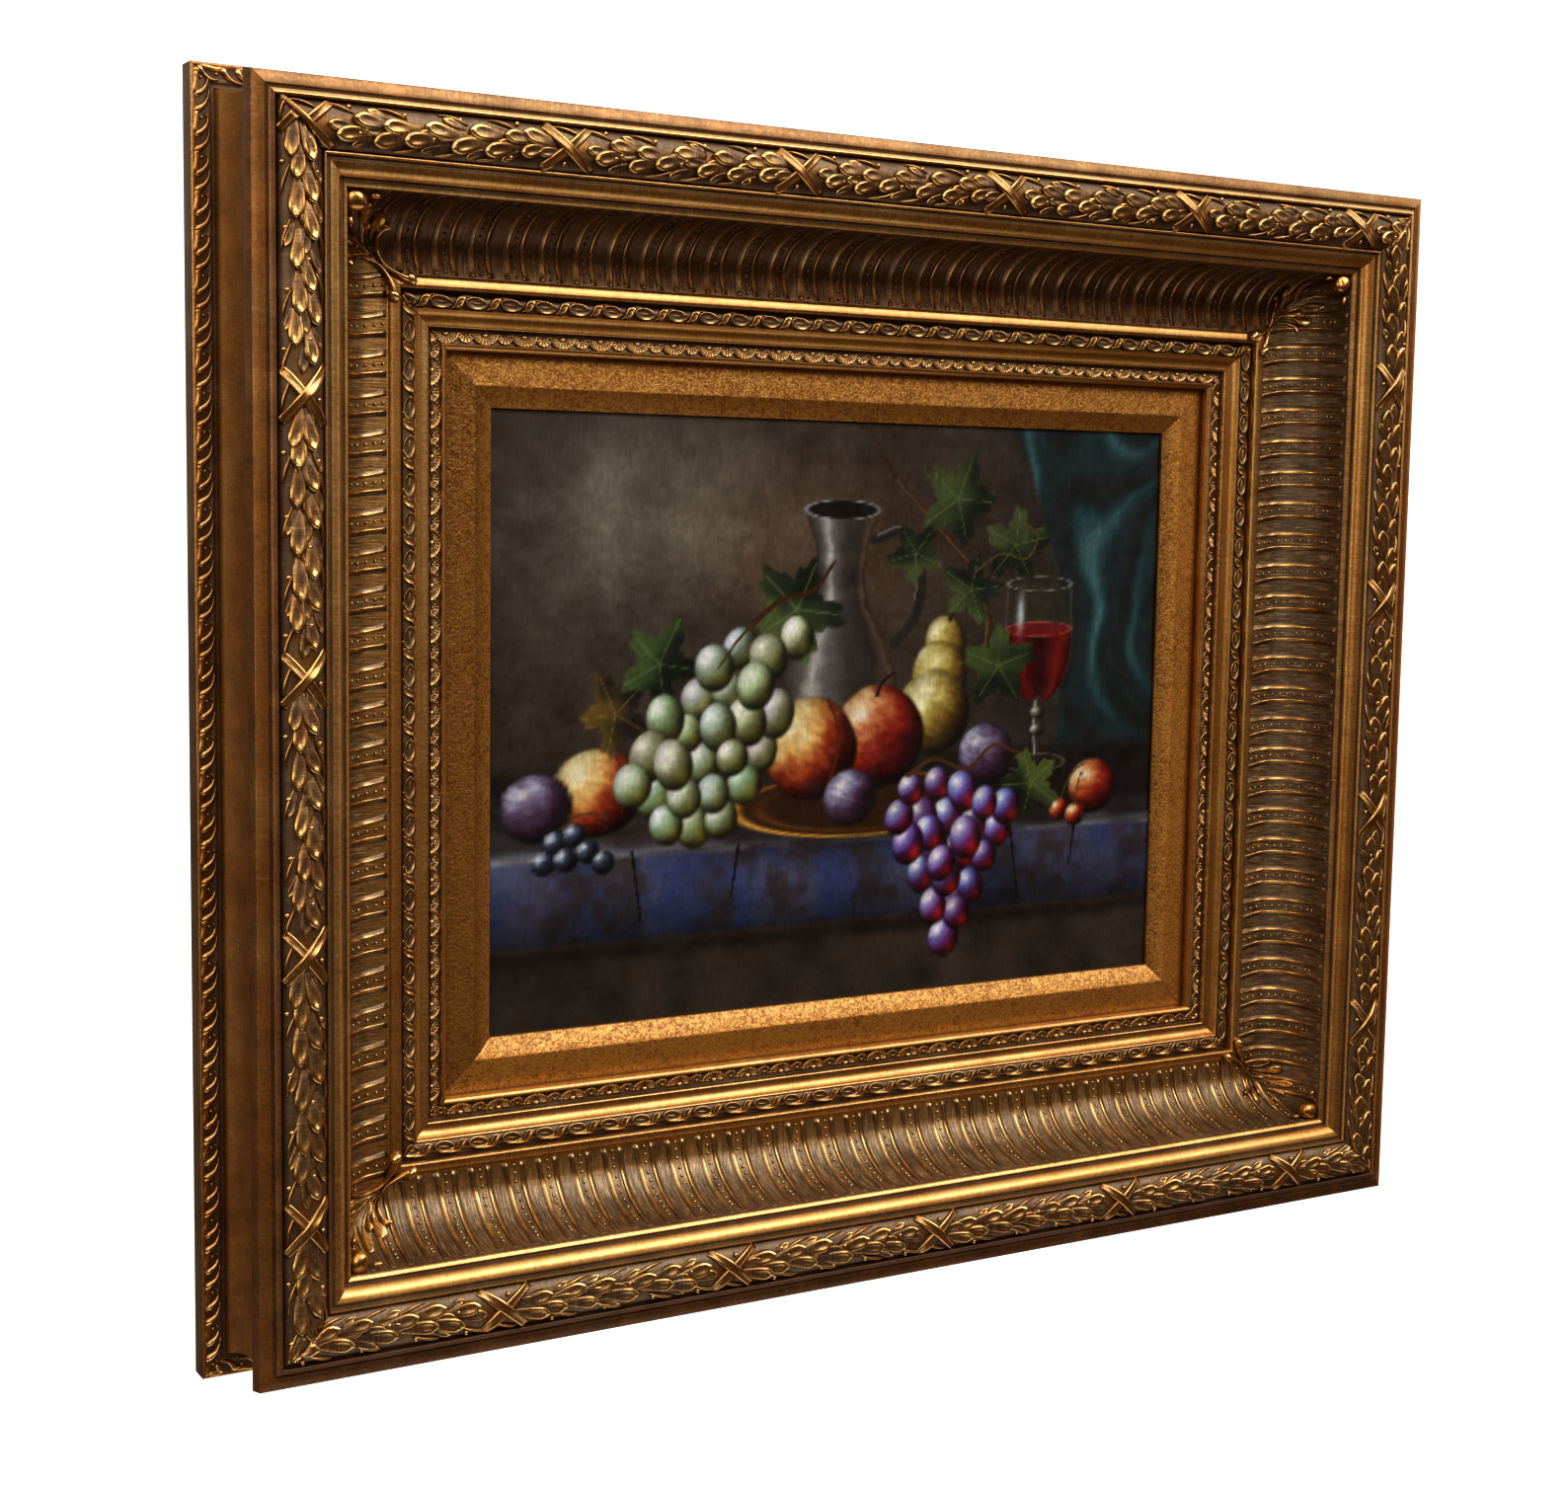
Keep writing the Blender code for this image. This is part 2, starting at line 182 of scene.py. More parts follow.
def lofted(rings, gilt, warm=0.5, fleck=0.2):
    # rings: sections x points round x (along, across, rise); both ends are capped
    rings = np.asarray(rings, float)
    sections, around = rings.shape[:2]
    index = np.arange(sections * around).reshape(sections, around)
    near = index[:-1]
    far = index[1:]
    quads = fourSided(near, np.roll(near, -1, 1), np.roll(far, -1, 1), far)
    caps = np.stack([index[0][::-1], index[-1]])
    points = rings.reshape(-1, 3)
    a, b, c, d = (points[quads[:, k]] - points.mean(0) for k in range(4))
    inside = (a * np.cross(b, c)).sum() + (a * np.cross(c, d)).sum()
    tone = np.stack([np.broadcast_to(share, rings.shape[:2]).ravel()
                     for share in (gilt, warm, fleck)], 1)
    made = {"points": points, "quads": quads, "caps": caps, "tone": tone}
    return flipped(made) if inside > 0 else made


def flipped(body, **changes):
    return {**body, "quads": body["quads"][:, ::-1], "caps": body["caps"][:, ::-1], **changes}


def stacked(outline, spine, levels, warm=0.5):
    # the outline drawn in towards its spine in steps: (share, rise, gilt)
    share, rise, shine = np.array(levels).T[:, :, None]
    flat = spine + (outline - spine) * share[..., None]
    return lofted(np.dstack([flat, rise + 0 * flat[..., 0]]), shine, warm)


def dome(halfLong, halfWide, rise, around=8, warm=0.5, gilt=0.9):
    turn = np.arange(around) / around * 2 * pi
    ring = np.column_stack([np.cos(turn) * halfLong, np.sin(turn) * halfWide])
    levels = [(1.0, -0.3, 0.05), (0.98, rise * 0.2, 0.2), (0.78, rise * 0.68, gilt * 0.85),
              (0.34, rise * 0.97, gilt)]
    if around > 9:
        levels = [(1.02, -0.35, 0.05), (1.0, rise * 0.12, 0.15), (0.93, rise * 0.42, gilt * 0.7),
                  (0.78, rise * 0.7, gilt * 0.9), (0.52, rise * 0.9, gilt), (0.2, rise, gilt)]
    return stacked(ring, np.zeros_like(ring), levels, warm)


def newPiece():
    return {"points": [], "loops": [], "sizes": [], "tone": [], "stick": [], "slots": [],
            "count": 0}


def addFaces(piece, points, tone, stick, faceSets, slot=0):
    # faceSets: arrays of faces x corners, counted from this body's first point
    for faces in faceSets:
        slots = slot if np.ndim(slot) else np.full(len(faces), slot)
        piece["loops"].append((faces + piece["count"]).ravel())
        piece["sizes"].append(np.full(len(faces), faces.shape[1]))
        piece["slots"].append(slots[:len(faces)])
    piece["points"].append(points)
    piece["tone"].append(tone)
    piece["stick"].append(stick)
    piece["count"] += len(points)


def stamp(piece, rail, ground, body, along, inset, turn=0.0, size=1.0, lift=1.0, gain=1.0):
    # one body laid on the ground line at this place; it is cut off at the mitre
    local = body["points"]
    x = local[:, 0] * size
    y = local[:, 1] * size
    run = runAt(ground, inset) + x * sin(turn) + y * cos(turn)
    spot = along + x * cos(turn) - y * sin(turn)
    rise = local[:, 2] * np.where(local[:, 2] > 0, lift, 1)
    a, d = onGround(ground, run, rise)
    end = mitreEnd(rail, a) - frameSizes["trim"]
    over = np.abs(spot) - end
    if over.min() > 0:
        return
    if over.max() > 0:
        sunk = np.clip(over / 1.2, 0, 1)
        rise = rise * (1 - sunk) - 0.4 * sunk
        a, d = onGround(ground, run, rise)
        end = mitreEnd(rail, a) - frameSizes["trim"]
        spot = np.clip(spot, -end, end)
    d = np.maximum(d, frameSizes["crestDepth"])
    tone = body["tone"].copy()
    tone[:, 0] *= gain
    stick = np.column_stack([spot, run, rise])
    addFaces(piece, toFrame(rail, a, d, spot), tone, stick, (body["quads"], body["caps"]))


def finishPiece(name, piece, materials, nodes, sharp=None):
    points, tone, stick = (np.vstack(piece[label]).astype(np.float32)
                           for label in ("points", "tone", "stick"))
    loops, sizes, slots = (np.concatenate(piece[label]).astype(np.int32)
                           for label in ("loops", "sizes", "slots"))
    starts = np.concatenate([[0], np.cumsum(sizes)[:-1]]).astype(np.int32)
    data = bpy.data.meshes.new(name)
    data.vertices.add(len(points))
    data.vertices.foreach_set("co", points.ravel())
    data.loops.add(len(loops))
    data.loops.foreach_set("vertex_index", loops)
    data.polygons.add(len(sizes))
    data.polygons.foreach_set("loop_start", starts)
    for made in materials:
        data.materials.append(made)
    data.update(calc_edges=True)
    data.polygons.foreach_set("material_index", slots)
    data.polygons.foreach_set("use_smooth", np.ones(len(sizes), bool))
    for label, values in (("tone", tone), ("stick", stick)):
        field = data.attributes.new(label, "FLOAT_VECTOR", "POINT")
        field.data.foreach_set("vector", values.ravel())
    if sharp:
        data.set_sharp_from_angle(angle=radians(sharp))
    data.validate()
    made = shownObject(name, data)
    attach(made, "root")
    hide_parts(*nodes)
    print(name, "-", int((sizes - 2).sum()), "triangles")


def shownObject(name, data):
    made = bpy.data.objects.new(name, data)
    bpy.context.scene.collection.objects.link(made)
    return made


# the moulding: one long section, swept down each rail

# Each run of the section: (inset, depth) points and its tone, (gilt, warm, fleck).
moulding = {
    "stationStep": 14.0,
    "arris": 0.28,
    "flangeEdge": ([(-1.2, 7.5), (-0.1, 0.4)], (0.34, 0.95, 0.15)),
    "flangeFace": ([(0.15, 0.0), (2.6, -0.85), (5.2, -1.35)], (0.55, 0.72, 0.4)),
    "flangeGroove": ([(5.7, -0.4), (6.2, -0.6)], (0.15, 0.8, 0.1)),
    "beadRidge": ([(6.5, -1.1), (7.2, -1.95), (8.0, -2.65), (8.8, -2.95), (9.35, -2.5)],
                  (0.66, 0.6, 0.4)),
    "thinLine": ([(30.1, -1.7), (31.0, -1.7)], (0.8, 0.45, 0.6)),
    "firstGroove": ([(31.4, 0.3), (32.7, 0.3)], (0.12, 0.35, 0.1)),
    "goldSlope": ([(33.1, -0.4), (34.0, -0.15), (35.2, 0.1), (36.6, 0.75), (37.7, 1.7),
                   (38.5, 2.7), (38.9, 3.6)], (0.8, 0.42, 0.45)),
    "deepGroove": ([(39.2, 5.2), (40.3, 5.2)], (0.05, 0.5, 0.0)),
    "coveLip": ([(40.7, 4.6), (42.3, 5.5)], (0.85, 0.4, 0.6)),
    "coveRim": ([(42.9, 6.6)], (0.25, 0.5, 0.2)),
    "goldFillet": ([(73.9, 40.1), (74.6, 39.5), (76.3, 39.0), (78.0, 38.75), (78.7, 38.95)],
                   (0.82, 0.5, 0.35)),
    "filletEdge": ([(79.2, 39.8)], (0.95, 0.3, 0.2)),
    "ropeGroove": ([(79.7, 44.8), (80.8, 44.8)], (0.02, 0.5, 0.0)),
    "ropeGround": ([(81.3, 43.7), (82.6, 43.1), (84.0, 42.9), (85.4, 43.2), (86.7, 43.9)],
                   (0.12, 0.45, 0.1)),
    "hollowLine": ([(87.3, 43.2), (87.9, 43.5)], (0.85, 0.4, 0.3)),
    "hollow": ([(88.2, 44.5), (89.2, 45.5), (90.4, 46.2), (91.8, 46.55), (93.2, 46.6),
                (94.3, 46.5)], (0.66, 0.5, 0.35)),
    "hollowEdge": ([(94.9, 46.9)], (0.95, 0.35, 0.5)),
    "shellStep": ([(95.3, 49.9)], (0.03, 0.5, 0.0)),
    "shellGround": ([(96.2, 49.9), (101.5, 49.8)], (0.12, 0.6, 0.1)),
    "lip": ([(101.9, 47.8), (103.1, 48.0), (104.2, 48.8)], (0.72, 0.55, 0.3)),
    "lipEdge": ([(104.7, 49.6)], (0.85, 0.4, 0.3)),
    "lipSide": ([(104.8, 54.2)], (0.1, 0.4, 0.1)),
    "rebate": ([(97.0, 54.2), (97.0, 62.5), (-9.6, 62.5)], (0.0, 0.0, 0.0)),
    "backEdge": ([(-9.6, 51.6)], (0.22, 0.55, 0.1)),
    "scrollMargin": ([(-9.35, 51.15), (-8.7, 50.75), (-8.0, 50.9)], (0.62, 0.75, 0.4)),
    "scrollGround": ([(-7.4, 51.3), (-2.4, 51.3)], (0.1, 0.5, 0.1)),
    "wallLine": ([(-1.6, 50.5), (-1.1, 51.5), (0.5, 51.5)], (0.04, 0.5, 0.0)),
    "wallFoot": ([(0.7, 50.4)], (0.62, 0.7, 0.6)),
    "wallFront": ([(0.7, 9.0)], (0.2, 1.0, 0.1)),
}
# Bands of one rail painted lighter or darker than on the rest, as painted light and shade by
# which way the rail faces: share of gold, added warmth, share of the bright marks.
railLightShade = {
    "top": {"flangeFace": (0.72, 0.0, 0.35), "flangeEdge": (0.8, 0.0, 0.5),
            "beadRidge": (1.35, 0.0, 0.7), "cove": (0.3, 0.55, 0.5),
            "hollow": (1.15, 0.0, 1.0), "coveLip": (1.1, 0.0, 1.0),
            "goldFillet": (0.8, 0.05, 1.0)},
    "bottom": {"flangeFace": (0.5, 0.35, 0.15), "flangeEdge": (0.5, 0.2, 0.1),
               "flangeGroove": (0.3, 0.3, 0.0), "beadRidge": (0.15, 0.5, 0.1),
               "goldSlope": (0.9, 0.1, 1.0), "coveLip": (0.88, 0.1, 1.0),
               "cove": (1.5, 0.0, 1.0), "hollow": (0.9, 0.1, 1.0), "lip": (0.92, 0.1, 1.0)},
    "left": {"flangeFace": (0.8, 0.25, 0.4), "beadRidge": (0.5, 0.3, 0.3),
             "goldSlope": (1.15, 0.1, 1.0), "coveLip": (1.1, 0.1, 1.0), "cove": (2.0, 0.1, 1.0),
             "goldFillet": (0.95, 0.15, 1.0), "hollow": (1.35, 0.15, 1.0),
             "lip": (1.25, 0.1, 1.0)},
    "right": {"flangeFace": (0.95, 0.2, 0.5), "beadRidge": (1.4, 0.0, 0.6),
              "goldSlope": (0.75, 0.15, 1.0), "coveLip": (0.65, 0.15, 1.0),
              "cove": (0.8, 0.0, 1.0), "goldFillet": (1.15, 0.1, 1.0),
              "hollow": (1.0, 0.15, 1.0), "lip": (0.65, 0.1, 1.0)},
}
wallHollow = {"inset": 0.7, "sink": 4.1, "depths": (50.4, 9.0), "tone": (0.42, 0.65, 0.15)}
garlandRoll = {"middle": 19.8, "halfWidth": 9.8, "crest": 4.6, "foot": 0.2,
               "tone": (0.14, 0.42, 0.15)}
cove = {"top": (43.0, 7.5), "semi": (23.0, 33.6), "sweep": 84,
        "foot": [(69.5, 40.95), (73.3, 40.8)], "tone": (0.16, 0.3, 0.85)}
sectionOrder = ["flangeEdge", "flangeFace", "flangeGroove", "beadRidge", "garland",
                "thinLine", "firstGroove", "goldSlope", "deepGroove", "coveLip", "coveRim",
                "cove", "goldFillet", "filletEdge", "ropeGroove", "ropeGround", "hollowLine",
                "hollow", "hollowEdge", "shellStep", "shellGround", "lip", "lipEdge",
                "lipSide", "rebate", "backEdge", "scrollMargin", "scrollGround", "wallLine",
                "wallFoot", "wall", "wallFront"]


def rollPoints(steps=15):
    return [(garlandRoll["middle"] + garlandRoll["halfWidth"] * sin(turn),
             garlandRoll["foot"] - garlandRoll["crest"] * cos(turn))
            for turn in np.linspace(-pi / 2, pi / 2, steps)]


def covePoints(steps=22):
    (inset, depth), (wide, deep) = cove["top"], cove["semi"]
    return [(inset + wide * (1 - cos(turn)), depth + deep * sin(turn))
            for turn in np.linspace(0, radians(cove["sweep"]), steps)] + cove["foot"]


def wallPoints(steps=12):
    low, high = wallHollow["depths"]
    return [(wallHollow["inset"] + wallHollow["sink"] * (1 - (2 * share - 1) ** 2),
             low + (high - low) * share) for share in np.arange(1, steps) / steps]


def sectionPoints(side):
    # the whole section as rows of inset, depth, gilt, warm, fleck, wood
    curved = {"garland": (rollPoints(), garlandRoll["tone"]), "cove": (covePoints(), cove["tone"]),
              "wall": (wallPoints(), wallHollow["tone"])}
    rows = []
    for name in sectionOrder:
        spots, tone = curved.get(name) or moulding[name]
        # painted light and shade: this rail's bands made lighter or darker
        gold, warmth, marks = railLightShade[side].get(name, (1.0, 0.0, 1.0))
        for k, spot in enumerate(spots):
            gilt, warm, fleck = tone[0] * gold, tone[1] + warmth, tone[2] * marks
            if name == "cove":
                foot = easeIn(k / len(spots), 0.74, 0.9)
                gilt, fleck = gilt + 0.2 * foot, fleck + 0.15 * foot
            if name == "garland":
                # browner and brighter along its crown, grey at its sides
                near = 1 - easeIn(abs(spot[0] - garlandRoll["middle"]), 1.0, 6.5)
                gilt, warm = gilt + 0.3 * near, warm + 0.45 * near
            rows.append((*spot, gilt, warm, fleck, float(name == "rebate")))
    return np.array(rows)


def softened(rows, radius):
    # sharp corners of the section eased: raised ones made bright, as edge wear and as painted
    # highlight, sunk ones left dark
    made = []
    count = len(rows)
    for k in range(count):
        before, here, after = rows[k - 1], rows[k], rows[(k + 1) % count]
        back = before[:2] - here[:2]
        on = after[:2] - here[:2]
        backLong = np.hypot(*back)
        onLong = np.hypot(*on)
        cross = (back[0] * on[1] - back[1] * on[0]) / (backLong * onLong)
        if abs(cross) < 0.34 or here[5] > 0.5:
            made.append(here)
            continue
        reach = min(radius, 0.34 * backLong, 0.34 * onLong)
        first = here.copy()
        last = here.copy()
        first[:2] = here[:2] + back / backLong * reach
        last[:2] = here[:2] + on / onLong * reach
        middle = 0.25 * first + 0.5 * here + 0.25 * last
        raised = cross > 0
        middle[2] = min(1.0, here[2] * 1.25 + 0.12) if raised else here[2] * 0.45
        made += [first, middle, last]
    return np.array(made)


def sweepRail(name, side, rows, stations, down, bare, materials, sharp):
    # a section of (inset, depth, tone) rows swept down a rail from mitre to mitre; "down"
    # runs across it for the grain, "bare" marks the strips left as timber
    rail = rails[side]
    along = mitreEnd(rail, rows[:, :1]) * np.linspace(-1, 1, stations + 1)
    wide = 0 * along
    points = toFrame(rail, rows[:, :1] + wide, rows[:, 1:2] + wide, along).reshape(-1, 3)
    index = np.arange(along.size).reshape(along.shape)
    on = np.roll(index, -1, 0)
    quads = fourSided(index[:, :-1], on[:, :-1], on[:, 1:], index[:, 1:])
    tone = np.repeat(rows[:, 2:5], stations + 1, 0)
    stick = np.stack([along, down[:, None] + wide, wide], -1).reshape(-1, 3)
    piece = newPiece()
    addFaces(piece, points, tone, stick, [quads], np.repeat(bare.astype(int), stations))
    caps = np.stack([index[::-1, 0], index[:, -1]])
    piece["loops"].append(caps.ravel())
    piece["sizes"].append(np.full(2, len(rows)))
    piece["slots"].append(np.ones(2, int))
    finishPiece(name + side, piece, materials, [name + side], sharp)


def buildMoulding(side, materials):
    rows = softened(sectionPoints(side), moulding["arris"])
    timber = rows[:, 5] > 0.5
    steps = np.hypot(*np.diff(rows[:, :2], axis=0).T)
    down = np.concatenate([[0], np.cumsum(steps)])
    stations = int(rails[side]["length"] / moulding["stationStep"])
    sweepRail("frame_rail_", side, rows, stations, down, timber & np.roll(timber, -1), materials,
              40)


# the laurel garland with its crossed ribbons

# Places run back from each ribbon crossing: (along, inset) of a tip, its lean in degrees.
garland = {
    "pitch": 117.0,
    # each kind of leaf: length, width, rise, share of gold, how blunt its tip
    "leafSizes": {"leaves": (20.0, 6.7, 2.9), "underLeaves": (17.0, 5.2, 1.5, 0.7),
                  "sideLeaves": (12.5, 3.6, 1.5, 0.8, 1.5)},
    "leaves": [(-21.6, 15.2, 9), (-22.8, 23.6, -12), (-30.2, 17.2, 5), (-39.4, 24.4, -13),
               (-45.9, 16.6, 4), (-54.4, 24.6, -13), (-66.0, 16.9, 5), (-75.5, 23.4, -9),
               (-84.6, 18.4, 2), (-88.5, 25.2, -13), (-97.2, 16.4, 6), (-104.6, 23.6, -10)],
    "underLeaves": [(-33.5, 20.8, -2), (-49.5, 21.2, -4), (-60.5, 20.4, 2), (-69.0, 20.2, -2),
                    (-92.5, 21.0, -4), (-108.0, 19.4, 3), (-14.5, 22.6, -8)],
    "sideLeaves": [(-31.0, 27.2, -20), (-47.0, 27.4, -18), (-67.5, 27.0, -20),
                   (-97.5, 27.2, -20), (-57.5, 13.1, 16), (-91.0, 12.9, 16)],
    "curls": [(-35.5, 11.9, 1), (-58.0, 11.9, 1), (-85.0, 12.1, 1), (-6.0, 11.6, 1),
              (-41.0, 27.9, -1), (-60.0, 28.0, -1), (-78.0, 27.9, -1), (-108.0, 11.9, 1)],
    "berries": [(-23.4, 11.9), (-26.6, 25.9), (-49.6, 12.9), (-62.0, 21.9), (-74.5, 13.4),
                (-94.2, 22.3), (-98.5, 12.2), (-1.6, 26.3)],
    "berry": (1.25, 1.25, 1.6, 9, 0.4),   # half length and width, rise, points round, warmth
    "ribbonWide": 4.8, "ribbonSlope": 1.25,
}


def leafBody(long, wide, rise, shine=1.0, point=2.2):
    # a laurel leaf, tip towards -along at the origin: brown and sunk in at its root,
    # swelling to a full bright tip, cupped between two raised edges; the bright tip and rims
    # are gold on the raised parts and painted highlight
    across = bothWays([0.34, 0.62, 0.84, 1.0, 1.12])
    away = np.abs(across)
    share = np.array([0.0, 0.17, 0.34, 0.48, 0.6, 0.7, 0.785, 0.86, 0.92, 0.965, 0.992])[:, None]
    root = 0.5 + 0.5 * np.sin(np.clip(share / 0.72, 0, 1) * pi / 2)
    narrow = (1 - np.clip((share - 0.7) / 0.3, 0, 1) ** point) ** 0.58
    half = np.maximum(wide / 2 * root * narrow, 0.12)
    back = rise * easeIn(share, -0.1, 0.95) - 0.5 * (1 - easeIn(share, 0.0, 0.3))
    rim = hump(away, 0.66, 0.2)
    tip = easeIn(share, 0.8, 0.94)
    free = easeIn(share, 0.35, 0.75)
    cup = hump(away, 0, 0.4) * (1 - tip)
    curve = (0.3 + 0.35 * tip) * rise * away ** 2 * easeIn(share, -0.4, 0.8)
    up = back + 0.34 * rim * free * (1 - 0.7 * tip) - 0.45 * cup * free * rise - curve
    up = np.where(away == 1.0, 0.3 * back * free - 0.5 * (1 - free), up)
    up = np.where(away > 1.0, -0.6, up)
    gilt = (0.8 + 0.2 * easeIn(share, 0.5, 0.86)) * \
        (0.5 + 0.5 * rim * easeIn(share, 0.5, 0.82) + 0.52 * tip - 0.14 * cup)
    gilt = np.where(away >= 1.0, 0.44 - 0.34 * free, gilt)
    rings = np.dstack([long * (1 - share) + 0 * up, across * half, up])
    return lofted(rings, np.clip(gilt * shine, 0, 1), 0.62 - 0.32 * easeIn(share, 0.5, 0.9), 0.3)


def pathBody(path, halfWide, rise, gilt=0.9, warm=0.42):
    # a rounded strip along a path of (along, across, rise); widths and rises may vary
    wide, tall, shine = (np.broadcast_to(value, len(path))[:, None]
                         for value in (halfWide, rise, gilt))
    reach = bothWays([0.5, 0.9, 1.15])
    share = np.array([0.0, 0.35, 0.85, 1.0, 0.85, 0.35, 0.0])
    edge = share == 0
    up = np.where(edge, -0.4, path[:, 2:] + tall * share)
    tones = np.where(edge, 0.08, shine * (0.35 + 0.65 * share))
    return lofted(np.dstack([offPath(path, wide * reach), up]), tones, warm)


def ribbonBody(slope, over):
    # one strand of the cross: a bowed ribbon with its edges turned up, painted bright along
    # them and in a band near its middle as painted highlight
    share = np.linspace(-1, 1, 19)
    bow = 0.9 * (share ** 2 - 0.4) * (1 if over else -1)
    path = np.column_stack([9.6 * share * slope + bow, 9.6 * share])
    share = share[:, None]
    cross = bothWays([0.45, 0.8, 1.0, 1.1])
    away = np.abs(cross)
    wide = garland["ribbonWide"] / 2 * (0.5 + 0.5 * np.cos(share * pi / 2.6))
    middle = 1.3 + (1.45 if over else 0.4) * hump(share, 0, 0.4) - 0.8 * np.abs(share) ** 5
    twist = 0.6 * np.sin(share * 2.6 + (0.9 if over else 2.4)) * cross
    edge = hump(away, 0.85, 0.18)
    up = np.where(away >= 1.0, 0.35 * middle + 0.3 * twist, middle + 0.42 * edge + twist)
    up = np.where(away > 1.05, -0.5, up)
    tones = np.where(away >= 1.0, 0.12, 0.42 + 0.42 * edge + 0.25 * hump(share, 0.2, 0.2))
    return lofted(np.dstack([offPath(path, wide * cross), up]), np.clip(tones, 0, 1), 0.6)


def curlBody(turn):
    # a thin curled leaf edge
    share = np.linspace(0, 1, 12)
    path = np.column_stack([share * 14.0 - 1.5, turn * (3.6 * share ** 1.6 - 0.3),
                            0.15 + 0.25 * np.sin(share * pi)])
    wide = 0.25 + 0.55 * np.sin(share * pi) ** 0.7
    return pathBody(path, wide, 0.3 + 0.9 * np.sin(share * pi) ** 0.7, 0.6, 0.6)


def carveGarland(piece, side, chance):
    rail = rails[side]
    ground = groundLine(rollPoints(61))
    reach = rail["length"] / 2
    bodies = {kind: leafBody(*sizes) for kind, sizes in garland["leafSizes"].items()}
    curls = {1: curlBody(1), -1: curlBody(-1)}
    berry = dome(*garland["berry"])
    ribbons = (ribbonBody(-garland["ribbonSlope"], False),
               ribbonBody(garland["ribbonSlope"], True))
    for start in repeats(rail["ribbon"], garland["pitch"], -reach - 20, reach + 130):
        for kind in ("underLeaves", "sideLeaves", "leaves"):
            for t, inset, lean in garland[kind]:
                stamp(piece, rail, ground, bodies[kind], start + t, inset,
                      radians(lean + chance.uniform(-5, 5)), chance.uniform(0.9, 1.08),
                      chance.uniform(0.85, 1.08), chance.uniform(0.74, 1.1))
        for t, inset, turn in garland["curls"]:
            stamp(piece, rail, ground, curls[turn], start + t, inset, 0,
                  chance.uniform(0.85, 1.1))
        for t, inset in garland["berries"]:
            stamp(piece, rail, ground, berry, start + t, inset)
        for ribbon in ribbons:
            stamp(piece, rail, ground, ribbon, start, garlandRoll["middle"])


# the cove: pairs of thin ribs with a row of beads between

coveRibs = {
    "pitch": 17.07,
    # across a ridge: distance from the bead row, rise, share of gold
    "ridge": [(2.5, -0.35, 0.0), (2.6, 0.25, 0.1), (2.9, 0.62, 0.75), (3.3, 0.8, 1.0),
              (3.8, 0.64, 0.8), (4.5, 0.3, 0.3), (5.4, 0.05, 0.05), (5.6, -0.3, 0.0)],
    "beadInsets": [43.9, 44.5, 45.7, 47.3, 49.7, 52.3, 55.0, 58.5, 63.2, 67.4, 71.3],
    "beadWide": 1.75,
    "gloom": {"top": 0.4},    # ribs and beads painted duller under the top rail, as painted shade
}


def ribPath(ground):
    # the ribs bow along the rail where the cove flattens
    long = ground["run"][-1]
    run = np.linspace(0.6, long - 0.5, 22)
    share = run / long
    bow = 1.5 * (2 * share - 1) ** 2 + 0.9 * np.clip(share - 0.72, 0, 1) / 0.28 - 0.6
    return np.column_stack([bow, run, 0 * run]), share


def ridgeBody(ground, way, gloom):
    # one raised edge of a flute, painted bright along the middle of its length as painted
    # highlight; where gloom is below 1 that highlight is dimmed and moved towards its foot
    off, rise, gold = np.array(coveRibs["ridge"]).T
    path, share = ribPath(ground)
    share = share[:, None]
    flare = 1 + 0.12 * easeIn(share, 0.8, 1.0)
    close = easeIn(share, 0.0, 0.2) * easeIn(1 - share, 0.0, 0.05)
    middle = easeIn(share, 0.18, 0.4) * (1 - 0.6 * easeIn(share, 0.72, 0.95))
    shine = 0.22 + 0.66 * middle * gloom + (1 - gloom) * easeIn(share, 0.74, 0.92)
    up = np.where(rise < 0, rise, rise * (0.15 + 0.85 * close))
    rings = np.dstack([path[:, :1] + way * off * flare, path[:, 1:2] + 0 * up, up])
    tones = np.clip(0.05 + gold * shine, 0, 1)
    return lofted(rings[:, ::way], tones[:, ::way], 0.45, 0.35)


def carveCoveRibs(piece, side, chance):
    rail = rails[side]
    ground = groundLine(covePoints(60))
    gloom = coveRibs["gloom"].get(side, 1.0)
    bodies = [ridgeBody(ground, way, gloom) for way in (-1, 1)]
    # the beads are painted duller by gloom too, as painted shade
    bead = dome(coveRibs["beadWide"] / 2, coveRibs["beadWide"] / 2, 0.95, 7, 0.25, 0.75 * gloom)
    path = ribPath(ground)[0]
    beadRuns = np.array([runAt(ground, a) for a in coveRibs["beadInsets"]])
    beadBows = np.interp(beadRuns, path[:, 1], path[:, 0])
    reach = rail["length"] / 2 - cove["top"][0]
    for t in repeats(rail["rib"], coveRibs["pitch"], -reach, reach):
        for body in bodies:
            stamp(piece, rail, ground, body, t, cove["top"][0], 0, 1.0,
                  chance.uniform(0.85, 1.1), chance.uniform(0.85, 1.1))
        for run, bow in zip(beadRuns, beadBows):
            inset = float(np.interp(run, ground["run"], ground["spots"][:, 0]))
            if abs(t + bow) < mitreEnd(rail, inset) - 1.2:
                stamp(piece, rail, ground, bead, t + bow, inset, 0, chance.uniform(0.9, 1.1),
                      chance.uniform(0.8, 1.1), chance.uniform(0.7, 1.15))


# the rope band, and the shells beside the lip

